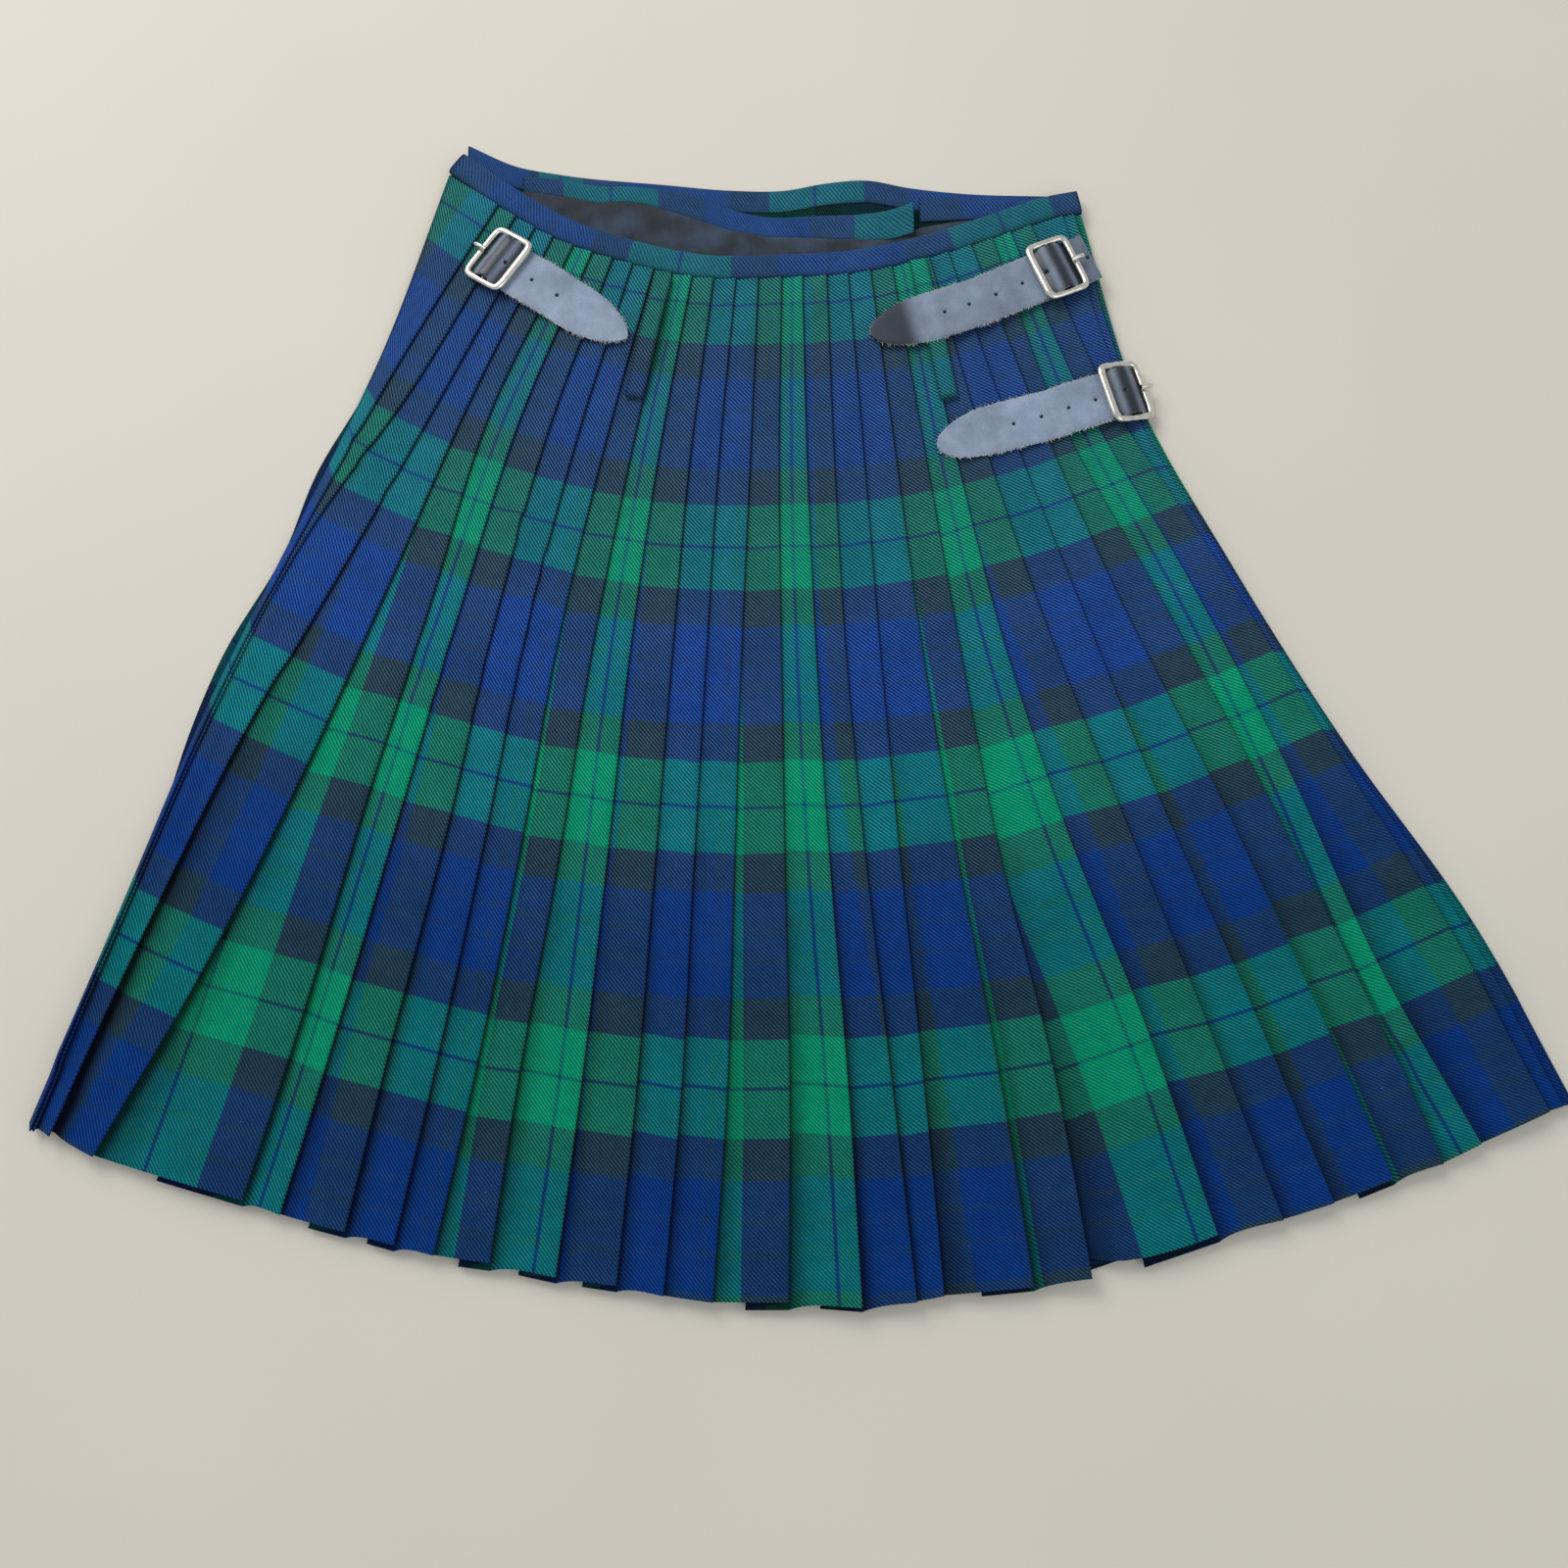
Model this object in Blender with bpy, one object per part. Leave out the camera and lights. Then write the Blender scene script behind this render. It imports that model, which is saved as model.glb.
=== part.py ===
"""Pleated kilt laid flat with its pleated back up.

Sizes are in millimetres and become metres where a mesh is made. X runs across the kilt with
x = 0 on the centre back, +Y runs from hem to waist and +Z up from the surface that it lies on.
"""

import math
from collections import namedtuple

import bmesh
import bpy
import numpy as np

MM = 0.001

# Cloth and leather
CLOTH = 1.0
SEAM = 0.3
PITCH = CLOTH + SEAM
APRON_CLOTH = 1.2
BAND_CLOTH = 1.5
BAND_HEIGHT = 15.5
BACK_BAND_THICKNESS = 5.0
LEATHER = 1.6
TAB_LEATHER = 1.2

# Layers, each from its underside
OVER_LAYER = 0.0
UNDER_LAYER = APRON_CLOTH + SEAM
LINING_LAYER = UNDER_LAYER + BAND_CLOTH
WAIST_LAYER = LINING_LAYER + CLOTH + SEAM
SKIRT_LAYER = UNDER_LAYER + APRON_CLOTH + SEAM

# Pleats: what a fold hides is this share of the face beside it
HIDDEN_SHARE = 0.6
SIDE_HIDDEN_SHARE = 0.35
FOLD_ROUND = 0.5
STACK = 2 * PITCH * (1 + HIDDEN_SHARE) + CLOTH
ROWS = 14
STITCHED_TO = 150.0

# Distances below the waistband at which the fold table gives the places of the folds
LEVELS = (0, 120, 240, 360, 480, 588)

# A fold edge: its x at each level, its length, and how far the layers under it reach past its hem
Fold = namedtuple("Fold", "waist hip seat thigh knee hem length under")

LEFT_SIDE = Fold(-205, -239, -281, -325, -363, -399, 602, 0)
FOLDS = (
    Fold(-174, -230, -276, -320, -359, -396, 593, 0),
    Fold(-163, -215, -272, -316, -356, -393, 588, 0),
    Fold(-151, -202, -257, -310, -352, -390, 586, -1),
    Fold(-140, -187, -228, -270, -317, -366, 587, 0),
    Fold(-127.5, -174, -203, -233, -260, -287, 581, 2),
    Fold(-116, -157, -186.5, -214, -241, -267, 581, 0),
    Fold(-103.5, -139.5, -166, -187, -211.5, -232, 580, 2),
    Fold(-91.5, -122.5, -147.5, -166, -186, -206, 580, 2),
    Fold(-78.5, -106, -129, -146, -165, -185, 580, 0),
    Fold(-67.5, -90, -109.5, -124.5, -142, -155, 578, 2.5),
    Fold(-55.5, -74, -88, -98, -108.5, -120, 580, 2),
    Fold(-42.5, -55.5, -64, -71.5, -79, -88, 581, 2),
    Fold(-29, -38.5, -44.5, -50, -55, -63, 585, 0),
    Fold(-15.5, -20, -24.5, -27.5, -30.5, -37, 588, 0),
    Fold(-1.5, -3, -1.5, 0.5, 3, 2.5, 588, 2.5),
    Fold(11, 13.5, 18.5, 25.5, 34.5, 40.5, 592, 1.5),
    Fold(25.5, 29.5, 35.5, 45.5, 58, 69, 591, 0),
    Fold(38.5, 47, 55, 64.5, 75, 83.5, 589, 0),
    Fold(52, 65.5, 79, 96, 115.5, 130, 590, 1.5),
    Fold(65, 82.5, 100, 119, 144, 160, 591, -6),
    Fold(77, 99.5, 124.5, 158, 198, 228.5, 585, 2.5),
    Fold(87.5, 116.5, 150, 189.5, 229, 263, 587, 0),
    Fold(99, 133.5, 172, 211.5, 254.5, 290.5, 587, 0),
    Fold(113, 151, 193.5, 241.5, 285.5, 323, 586, 2),
    Fold(126, 166.5, 213.5, 264, 310.5, 349.5, 589, 0),
    Fold(137, 182, 232.5, 281, 323.5, 371, 587, 0),
    Fold(149.5, 190, 243, 299, 356, 408, 587, 0),
    Fold(162.5, 197, 247.5, 304, 363, 414, 586, 0),
    Fold(174, 203, 252, 309, 370, 420, 586, 0),
)
RIGHT_SIDE = Fold(181, 209, 257, 313.5, 377, 425, 586, 0)

# Lower edge of the back waistband, where the pleats begin
Station = namedtuple("Station", "x y")
WAIST_LINE = (
    Station(-205, 381), Station(-175, 359), Station(-138, 336), Station(-95, 320), Station(-50, 310),
    Station(0, 310), Station(50, 314), Station(100, 327), Station(137, 340), Station(162, 351),
    Station(181, 357),
)

# Waistbands of the front, seen in the waist opening: top edge, lower edge, height of the cloth's middle
Band = namedtuple("Band", "x top low middle")
OVER_MIDDLE = OVER_LAYER + BAND_CLOTH / 2
UNDER_MIDDLE = UNDER_LAYER + BAND_CLOTH / 2
OVER_BAND = (
    Band(-195, 404, 389, OVER_MIDDLE), Band(-166, 390, 375, OVER_MIDDLE), Band(-138, 384, 369, OVER_MIDDLE),
    Band(-74, 377, 362, OVER_MIDDLE), Band(-31, 373, 358, OVER_MIDDLE), Band(0, 373, 358, OVER_MIDDLE),
    Band(26, 378, 363, OVER_MIDDLE), Band(51, 380, 365, OVER_MIDDLE), Band(76, 375, 360, OVER_MIDDLE),
    Band(109, 371, 356, OVER_MIDDLE), Band(164, 369, 354, OVER_MIDDLE),
)
UNDER_BAND = (
    Band(-160, 382, 371, UNDER_MIDDLE), Band(-133, 379, 367, UNDER_MIDDLE),
    Band(-113, 375, 363, UNDER_MIDDLE), Band(-97, 375, 364, UNDER_MIDDLE),
    Band(-77, 373, 360, UNDER_MIDDLE), Band(-57, 369, 353, UNDER_MIDDLE),
    Band(-35, 360, 345, UNDER_MIDDLE), Band(-10, 354, 340, UNDER_MIDDLE),
    Band(20, 355, 339, UNDER_MIDDLE), Band(50, 356, 338, UNDER_MIDDLE + 0.6),
    Band(66, 358, 338, UNDER_MIDDLE + 2.2), Band(79, 362, 341, UNDER_MIDDLE + 4.2),
)
SIDE_MIDDLE = UNDER_LAYER + APRON_CLOTH / 2
SIDE_BAND = (
    Band(83, 367, 351, SIDE_MIDDLE), Band(105, 367, 352, SIDE_MIDDLE), Band(135, 366, 353, SIDE_MIDDLE),
    Band(172, 366, 355, SIDE_MIDDLE),
)

# Flat front panels: how far their edges stay inside the pleats, and the left edge's pucker
PANEL_INSET = 1.5
PANEL_HEM_INSET = 3.0
PUCKER_DEPTH = 6.5
PUCKER_AT = 200.0
PUCKER_REACH = 30.0
UNDER_INSET = 6.0
UNDER_DROP = 2.0
UNDER_LAST_FOLD = 21
UNDER_FREE_EDGE = (
    Station(190, -150), Station(160, 0), Station(120, 180), Station(92, 290), Station(74, 334),
)
UNDER_BAND_END = 70.0
LINING_REACH = 22.0
LINING_FROM = -160.0
LINING_TO = 130.0
LINING_STATIONS = 11
LINING_CORNER = (Station(84, 346), Station(105, 350), Station(128, 352))

# Belt loops: the middle of the top and of the lower end, and how far the middle stands proud
Loop = namedtuple("Loop", "side top_x top_y low_x low_y rise")
LOOPS = (Loop("left", -72.5, 310.5, -89.5, 232, 1.6), Loop("right", 80.5, 320.5, 97.5, 231, 0.3))
LOOP_WIDTH = 11.0
LOOP_STATIONS = 9
BACK_BAND_STATIONS = 25
CORNER_SHARE = 0.3

# Buckles: the frame's centre, the way its strap points, its tilt and its lift off the pleats, then
# the strap's reach, its bend in degrees, the height of its tip and the tab's shift across
Buckle = namedtuple("Buckle", "side x y heading tilt lift reach bend tip tab_shift")
BUCKLES = (
    Buckle("left", -171.3, 319.5, -34.0, 8.0, 4.0, 93.0, 0.0, 1.15, 0.0),
    Buckle("right_upper", 163.5, 313.5, 203.5, 5.0, 4.65, 119.0, -12.0, 2.1, 2.4),
    Buckle("right_lower", 201.5, 234.5, 196.0, 18.0, 2.7, 117.0, 0.0, 1.15, 0.0),
)
FRAME_ALONG = 12.2
FRAME_ACROSS = 16.6
WIRE_RADIUS = 1.4
THICK_BAR = 1.45
BAR_RADIUS = 1.1
FRAME_POINTS = 36
FRAME_SQUARENESS = 5.0
THICK_FROM = 0.6
TUBE_ROUNDNESS = 2
WELD = 1e-6
PRONG_RADIUS = 0.9
STRAP_HALF = 15.5
STRAP_HALF_IN_FRAME = 12.8
FRAME_REACH = 14.0
STRAP_TONGUE = 39.0
TAB_HALF = 14.0

# Strap courses: distance from the buckle's centre towards the tip, and height above the pleats
Course = namedtuple("Course", "along height")
RISING_STRAP = (
    Course(-9.4, 1.2), Course(-8, 2.2), Course(-6, 4.0), Course(-4, 5.3), Course(-2, 6.0), Course(0, 6.2),
    Course(2, 6.0), Course(4.5, 5.2), Course(8, 3.6), Course(12, 2.6), Course(20, 2.6), Course(38, 2.6),
    Course(46, 1.15),
)
WRAPPED_STRAP = (
    Course(-31.6, -6.2), Course(-31.4, -3.0), Course(-30, -0.4), Course(-27.5, 0.9), Course(-24, 1.15),
    Course(-11, 1.15), Course(-9, 1.7), Course(-6, 4.0), Course(-3, 6.2), Course(0, 6.9),
    Course(3, 6.4), Course(8, 3.8), Course(12, 2.6), Course(20, 2.6), Course(38, 2.6),
    Course(60, 2.9), Course(79, 2.9),
)
TILTED_STRAP = (
    Course(-11.8, -5.6), Course(-10.2, -3.5), Course(-8.1, -0.8), Course(-6.2, 1.3), Course(-4, 3.5),
    Course(-2, 4.6), Course(0, 5.1), Course(3, 4.9), Course(7.5, 3.6), Course(12, 2.6), Course(20, 2.6),
    Course(38, 2.6), Course(46, 1.15),
)
STRAP_COURSES = {"left": RISING_STRAP, "right_upper": WRAPPED_STRAP, "right_lower": TILTED_STRAP}
TIP_STATIONS = 8
TIP_ANGLE = 84.0

# Prong and tab, from the buckle's centre: distance along, drop below the seat on the bar, share of radius
Prong = namedtuple("Prong", "along drop share")
PRONG = (Prong(-9.0, 0.5, 1.0), Prong(-12.2, 0.0, 1.0), Prong(-14.5, 0.0, 0.9), Prong(-16.8, 0.4, 0.75))
TAB_STATIONS = (-1.5, 1.5, 5.0, 9.0, 24.0, 37.0)


def smooth(at, knots, values):
    """Cubic curve through the knots, read at the given places."""
    knots = np.asarray(knots, float)
    values = np.asarray(values, float)
    slopes = np.gradient(values, knots)
    index = np.clip(np.searchsorted(knots, at) - 1, 0, len(knots) - 2)
    span = knots[index + 1] - knots[index]
    share = (at - knots[index]) / span
    start = values[index] * (1 + 2 * share) + slopes[index] * span * share
    end = values[index + 1] * (3 - 2 * share) - slopes[index + 1] * span * (1 - share)
    return start * (1 - share) ** 2 + end * share**2


def waist_height(x):
    """Y of the waistband's lower edge at x."""
    return smooth(np.asarray(x, float), [s.x for s in WAIST_LINE], [s.y for s in WAIST_LINE])


def fold_course(fold):
    """Places of a fold edge, row by row, each row its own distance further down the cloth."""
    down = np.linspace(0.0, fold.length, ROWS)
    x = smooth(down, LEVELS, fold[: len(LEVELS)])
    drop = np.sqrt(np.diff(down) ** 2 - np.diff(x) ** 2)
    y = waist_height(x[0]) - np.concatenate([[0.0], np.cumsum(drop)])
    return np.column_stack([x, y])


def pleat_underside(down):
    """Height of the pleats' underside: over the lining at the waist, over the apron below it."""
    share = np.clip(1 - down / STITCHED_TO, 0, 1)
    return SKIRT_LAYER + (WAIST_LAYER - SKIRT_LAYER) * share * share * (3 - 2 * share)


def pleat_top(down):
    """Height of the fold edges above the surface that the kilt lies on."""
    return pleat_underside(down) + STACK


def make_material(name, colour, roughness, metallic=0.0):
    """Plain finish of a sub-part."""
    material = bpy.data.materials.new(name)
    material.use_nodes = True
    shader = material.node_tree.nodes["Principled BSDF"]
    shader.inputs["Base Color"].default_value = (*colour, 1.0)
    shader.inputs["Roughness"].default_value = roughness
    shader.inputs["Metallic"].default_value = metallic
    return material


def add_part(name, data, material):
    """Put a mesh or curve in the kilt's collection under the frame's empty."""
    part = bpy.data.objects.new(name, data)
    part.parent = bpy.data.objects["kilt_frame"]
    bpy.data.collections["kilt"].objects.link(part)
    if not data.materials:
        data.materials.append(material)
    return part


def closed_mesh(name, points, faces):
    """Mesh of the given faces with its normals turned outwards."""
    mesh = bpy.data.meshes.new(name)
    mesh.from_pydata((np.asarray(points) * MM).tolist(), [], faces)
    shape = bmesh.new()
    shape.from_mesh(mesh)
    bmesh.ops.recalc_face_normals(shape, faces=shape.faces)
    shape.to_mesh(mesh)
    shape.free()
    return mesh


def strip_mesh(name, near, far, thickness):
    """Flat strip between two edges, with its corners taken off: one ring of eight points a station."""
    near = np.asarray(near, float)
    far = np.asarray(far, float)
    across = far - near
    across /= np.linalg.norm(across, axis=1)[:, None]
    along = np.gradient((near + far) / 2, axis=0)
    normal = np.cross(across, along)
    normal /= np.linalg.norm(normal, axis=1)[:, None]
    half = thickness / 2
    corner = CORNER_SHARE * thickness
    rings = np.stack([
        near + normal * (corner - half), near + across * corner - normal * half,
        far - across * corner - normal * half, far + normal * (corner - half),
        far + normal * (half - corner), far - across * corner + normal * half,
        near + across * corner + normal * half, near + normal * (half - corner),
    ], axis=1)
    count, sides = rings.shape[:2]
    faces = [
        (r * sides + i, r * sides + (i + 1) % sides, (r + 1) * sides + (i + 1) % sides, (r + 1) * sides + i)
        for r in range(count - 1) for i in range(sides)
    ]
    faces.append(tuple(range(sides)))
    faces.append(tuple((count - 1) * sides + i for i in range(sides)))
    return closed_mesh(name, rings.reshape(-1, 3), faces)


def flat_panel(name, outline, underside, thickness, material):
    """Cloth panel cut to an outline and laid flat."""
    curve = bpy.data.curves.new(name, "CURVE")
    curve.dimensions = "2D"
    curve.fill_mode = "BOTH"
    curve.extrude = thickness / 2 * MM
    spline = curve.splines.new("POLY")
    spline.points.add(len(outline) - 1)
    for point, (x, y) in zip(spline.points, outline):
        point.co = (x * MM, y * MM, 0.0, 1.0)
    spline.use_cyclic_u = True
    panel = add_part(name, curve, material)
    panel.location.z = (underside + thickness / 2) * MM
    return panel


def pleat_sections(courses):
    """Face side and back side of the pleated cloth, row by row, and the pairs that close its ends.

    Each face climbs from under the fold on its left to its own fold edge. The cloth then turns
    back under itself, turns again at a hidden fold, and runs out to the right as the next face.
    """
    down = np.linspace(0.0, LEVELS[-1], ROWS)
    top = pleat_top(down)
    underside = pleat_underside(down)
    face_side = []
    back_side = []
    pairs = []

    def add(side, plan, height):
        side.append(np.column_stack([plan, height]))
        return len(side) - 1

    hem_shift = np.zeros((ROWS, 2))
    for index, fold in enumerate(FOLDS):
        left, edge = courses[index], courses[index + 1]
        back = left - edge
        width = np.linalg.norm(back, axis=1)
        back /= width[:, None]
        first = index == 0
        climb = top - underside - CLOTH if first else np.full(ROWS, 2 * PITCH)
        hidden = width * (SIDE_HIDDEN_SHARE if first else HIDDEN_SHARE)
        slope = climb / width
        plan = left + hem_shift
        start = (add(face_side, plan, top - climb), add(back_side, plan, top - climb - CLOTH))
        fold_top = add(face_side, edge + back * FOLD_ROUND, top - slope * FOLD_ROUND)
        nose = add(face_side, edge, top - CLOTH - SEAM / 2)
        fold_low = add(face_side, edge + back * FOLD_ROUND, top - slope * FOLD_ROUND - 2 * CLOTH - SEAM)
        inside = add(back_side, edge + back * CLOTH, top - slope * CLOTH - CLOTH - SEAM / 2)
        run = edge[-1] - edge[-2]
        hem_shift = np.zeros((ROWS, 2))
        hem_shift[-1] = run / np.linalg.norm(run) * fold.under
        crease = hidden - CLOTH
        deep = edge + back * crease[:, None] + hem_shift
        hidden_crease = add(face_side, deep, top - slope * crease - 2 * CLOTH - 1.5 * SEAM)
        deep = edge + back * hidden[:, None] + hem_shift
        hidden_top = add(back_side, deep, top - slope * hidden - PITCH)
        hidden_low = add(back_side, deep, top - slope * hidden - 2 * PITCH - CLOTH)
        pairs += [start, (fold_top, inside), (nose, inside), (fold_low, inside)]
        pairs += [(hidden_crease, hidden_top), (hidden_crease, hidden_low)]
    plan = courses[-2] + hem_shift
    pairs.append((add(face_side, plan, top - 2 * PITCH), add(back_side, plan, top - 2 * PITCH - CLOTH)))
    edge = courses[-1]
    pairs.append((add(face_side, edge, underside + CLOTH), add(back_side, edge, underside)))
    return np.stack(face_side, axis=1), np.stack(back_side, axis=1), pairs


def build_pleats(material, sections):
    """The pleated back as one wall of even cloth through its sections."""
    face_side, back_side, pairs = sections
    faces = []
    shift = face_side.shape[0] * face_side.shape[1]
    across = face_side.shape[1]
    behind = back_side.shape[1]
    for row in range(ROWS - 1):
        for i in range(across - 1):
            a = row * across + i
            faces.append((a, a + 1, a + 1 + across, a + across))
        for i in range(behind - 1):
            a = shift + row * behind + i
            faces.append((a, a + behind, a + 1 + behind, a + 1))
        for i, j in ((0, 0), (across - 1, behind - 1)):
            a = row * across + i
            b = shift + row * behind + j
            faces.append((a, a + across, b + behind, b))
    for row in (0, ROWS - 1):
        for (i, j), (k, m) in zip(pairs, pairs[1:]):
            face_row = row * across
            back_row = shift + row * behind
            corners = (face_row + i, face_row + k, back_row + m, back_row + j)
            faces.append(tuple(dict.fromkeys(corners)))
    points = np.concatenate([face_side.reshape(-1, 3), back_side.reshape(-1, 3)])
    add_part("pleated_back", closed_mesh("pleated_back", points, faces), material)


def hem_points(courses, first, last, inset):
    """Hem line of a flat panel at every second fold, drawn in from the pleats' hem."""
    return [(course[-1][0], course[-1][1] + inset) for course in courses[first:last:2]]


def build_aprons(cloth, courses):
    """The two front panels, flat on each other."""
    down = np.linspace(0.0, LEVELS[-1], ROWS)
    pucker = PUCKER_DEPTH * np.exp(-(((down - PUCKER_AT) / PUCKER_REACH) ** 2))
    left = [(x + PANEL_INSET - p, y) for (x, y), p in zip(courses[0][:-1], pucker)]
    right = [(x - PANEL_INSET, y) for x, y in courses[-1][:-1]]
    hem = hem_points(courses, 1, len(courses) - 1, PANEL_HEM_INSET)
    top = [(s.x, s.low - SEAM) for s in OVER_BAND]
    outline = left + hem + right[::-1] + top[::-1]
    flat_panel("over_apron", outline, OVER_LAYER, APRON_CLOTH, cloth)

    left = [(x + UNDER_INSET, y - UNDER_DROP) for x, y in courses[0][:-1]]
    hem = hem_points(courses, 2, UNDER_LAST_FOLD, UNDER_INSET)
    top = [(s.x, s.low - SEAM) for s in UNDER_BAND if s.x < UNDER_BAND_END]
    outline = left + hem + list(UNDER_FREE_EDGE) + top[::-1]
    flat_panel("under_apron", outline, UNDER_LAYER, APRON_CLOTH, cloth)


def build_lining(material):
    """Lining where the waist opening shows it, from the near band to under the pleats."""
    top = [(s.x, s.low - SEAM) for s in UNDER_BAND if s.x < UNDER_BAND_END] + list(LINING_CORNER)
    x = np.linspace(LINING_TO, LINING_FROM, LINING_STATIONS)
    low = list(zip(x, waist_height(x) - LINING_REACH))
    flat_panel("lining", top + low, LINING_LAYER, CLOTH, material)


def build_band(name, stations, thickness, material):
    """Waistband of the front between its top and lower edges."""
    top = [(s.x, s.top, s.middle) for s in stations]
    low = [(s.x, s.low, s.middle) for s in stations]
    add_part(name, strip_mesh(name, low, top, thickness), material)


def build_back_band(material):
    """Waistband over the heads of the pleats, square to its lower edge."""
    x = np.linspace(WAIST_LINE[0].x, WAIST_LINE[-1].x, BACK_BAND_STATIONS)
    low = np.column_stack([x, waist_height(x)])
    run = np.gradient(low, axis=0)
    up = np.column_stack([-run[:, 1], run[:, 0]]) / np.linalg.norm(run, axis=1)[:, None]
    middle = np.full((len(x), 1), WAIST_LAYER + BACK_BAND_THICKNESS / 2)
    near = np.hstack([low + up * SEAM, middle])
    far = np.hstack([low + up * (SEAM + BAND_HEIGHT), middle])
    add_part("waistband_back", strip_mesh("waistband_back", near, far, BACK_BAND_THICKNESS), material)


def build_loop(loop, material):
    """Belt loop: flat at both ends and a little proud between them."""
    share = np.linspace(0.0, 1.0, LOOP_STATIONS)
    start = np.array([loop.top_x, loop.top_y])
    end = np.array([loop.low_x, loop.low_y])
    heading = (end - start) / np.linalg.norm(end - start)
    side = np.array([-heading[1], heading[0]]) * LOOP_WIDTH / 2
    plan = start + share[:, None] * (end - start)
    rest = pleat_top(share * np.linalg.norm(end - start)) + SEAM + CLOTH / 2
    height = (rest + loop.rise * np.sin(math.pi * share) ** 2)[:, None]
    near = np.hstack([plan - side, height])
    far = np.hstack([plan + side, height])
    name = "belt_loop_" + loop.side
    add_part(name, strip_mesh(name, near, far, CLOTH), material)


def leather_route(buckle, along):
    """Plan of the strap's middle line and the direction across it, at distances from the buckle."""
    travelled = np.clip(along, 0, None)
    turn = np.radians(buckle.bend) * travelled / buckle.reach
    heading = np.radians(buckle.heading) + turn
    mean = np.radians(buckle.heading) + turn / 2
    plan = np.column_stack([buckle.x + along * np.cos(mean), buckle.y + along * np.sin(mean)])
    across = np.column_stack([-np.sin(heading), np.cos(heading)])
    return plan, across


def rest_height(buckle):
    """Height of the fold edges under a buckle's upper side, where they stand highest."""
    return float(pleat_top(waist_height(buckle.x) - buckle.y - STRAP_HALF))


def build_leather(name, buckle, along, height, half, shift, thickness, material):
    """Leather strip along its buckle's route."""
    along = np.asarray(along, float)
    plan, across = leather_route(buckle, along)
    plan = plan + across * shift
    level = (rest_height(buckle) + np.asarray(height, float))[:, None]
    half = np.asarray(half, float)[:, None]
    near = np.hstack([plan - across * half, level])
    far = np.hstack([plan + across * half, level])
    add_part(name, strip_mesh(name, near, far, thickness), material)


def build_strap(buckle, material):
    """Strap over the buckle's centre bar, under its inner bar, then flat to a round tongue."""
    course = STRAP_COURSES[buckle.side]
    ends = buckle.reach - STRAP_TONGUE
    angle = np.linspace(0.0, math.radians(TIP_ANGLE), TIP_STATIONS)
    along = [c.along for c in course] + list(ends + STRAP_TONGUE * np.sin(angle))
    height = [c.height for c in course]
    height += list(np.linspace(course[-1].height, buckle.tip, TIP_STATIONS))
    half = [STRAP_HALF_IN_FRAME if abs(c.along) < FRAME_REACH else STRAP_HALF for c in course]
    half += list(STRAP_HALF * np.cos(angle))
    build_leather("strap_" + buckle.side, buckle, along, height, half, 0.0, LEATHER, material)


def build_tab(buckle, material):
    """Leather tab that holds the buckle's centre bar and is sewn to the pleats."""
    under_bar = buckle.lift - BAR_RADIUS - SEAM - TAB_LEATHER / 2
    flat = SEAM + TAB_LEATHER / 2
    start = max(under_bar, flat)
    height = [start, start, (start + flat) / 2, flat, flat, flat]
    half = [TAB_HALF] * len(height)
    name = "tab_" + buckle.side
    build_leather(name, buckle, TAB_STATIONS, height, half, buckle.tab_shift, TAB_LEATHER, material)


def tube_curve(name, points, radii, radius, closed):
    """Round wire through the points."""
    curve = bpy.data.curves.new(name, "CURVE")
    curve.dimensions = "3D"
    curve.bevel_depth = radius * MM
    curve.bevel_resolution = TUBE_ROUNDNESS
    curve.use_fill_caps = True
    spline = curve.splines.new("POLY")
    spline.points.add(len(points) - 1)
    for point, place, share in zip(spline.points, points, radii):
        point.co = (*(np.asarray(place) * MM), 1.0)
        point.radius = share
    spline.use_cyclic_u = closed
    return curve


def solid_from_curve(curve):
    """Welded mesh of a curve."""
    holder = bpy.data.objects.new(curve.name, curve)
    bpy.context.scene.collection.objects.link(holder)
    graph = bpy.context.evaluated_depsgraph_get()
    mesh = bpy.data.meshes.new_from_object(holder.evaluated_get(graph))
    bpy.data.objects.remove(holder)
    shape = bmesh.new()
    shape.from_mesh(mesh)
    bmesh.ops.remove_doubles(shape, verts=shape.verts, dist=WELD)
    shape.to_mesh(mesh)
    shape.free()
    mesh.shade_smooth()
    return mesh


def frame_mesh():
    """Buckle frame: a rounded oblong of wire, thicker at the strap's side, with its centre bar."""
    angle = np.linspace(0.0, 2 * math.pi, FRAME_POINTS, endpoint=False)
    power = 2 / FRAME_SQUARENESS
    x = FRAME_ALONG * np.sign(np.cos(angle)) * np.abs(np.cos(angle)) ** power
    y = FRAME_ACROSS * np.sign(np.sin(angle)) * np.abs(np.sin(angle)) ** power
    radii = 1 + (THICK_BAR - 1) * np.clip((x / FRAME_ALONG - THICK_FROM) / (1 - THICK_FROM), 0, 1)
    ring = np.column_stack([x, y, np.zeros(FRAME_POINTS)])
    wire = tube_curve("frame_wire", ring, radii, WIRE_RADIUS, True)
    frame = bpy.data.objects.new("frame_blank", solid_from_curve(wire))
    bar_ends = ((0, -FRAME_ACROSS, 0), (0, FRAME_ACROSS, 0))
    rod = tube_curve("bar_rod", bar_ends, (1, 1), BAR_RADIUS, False)
    bar = bpy.data.objects.new("bar_blank", solid_from_curve(rod))
    for blank in (frame, bar):
        bpy.data.collections["cutters"].objects.link(blank)
        blank.hide_render = True
        blank.display_type = "WIRE"
    union = frame.modifiers.new("join", "BOOLEAN")
    union.operation = "UNION"
    union.object = bar
    graph = bpy.context.evaluated_depsgraph_get()
    mesh = bpy.data.meshes.new_from_object(frame.evaluated_get(graph))
    bpy.data.objects.remove(frame)
    bpy.data.objects.remove(bar)
    return mesh


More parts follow.
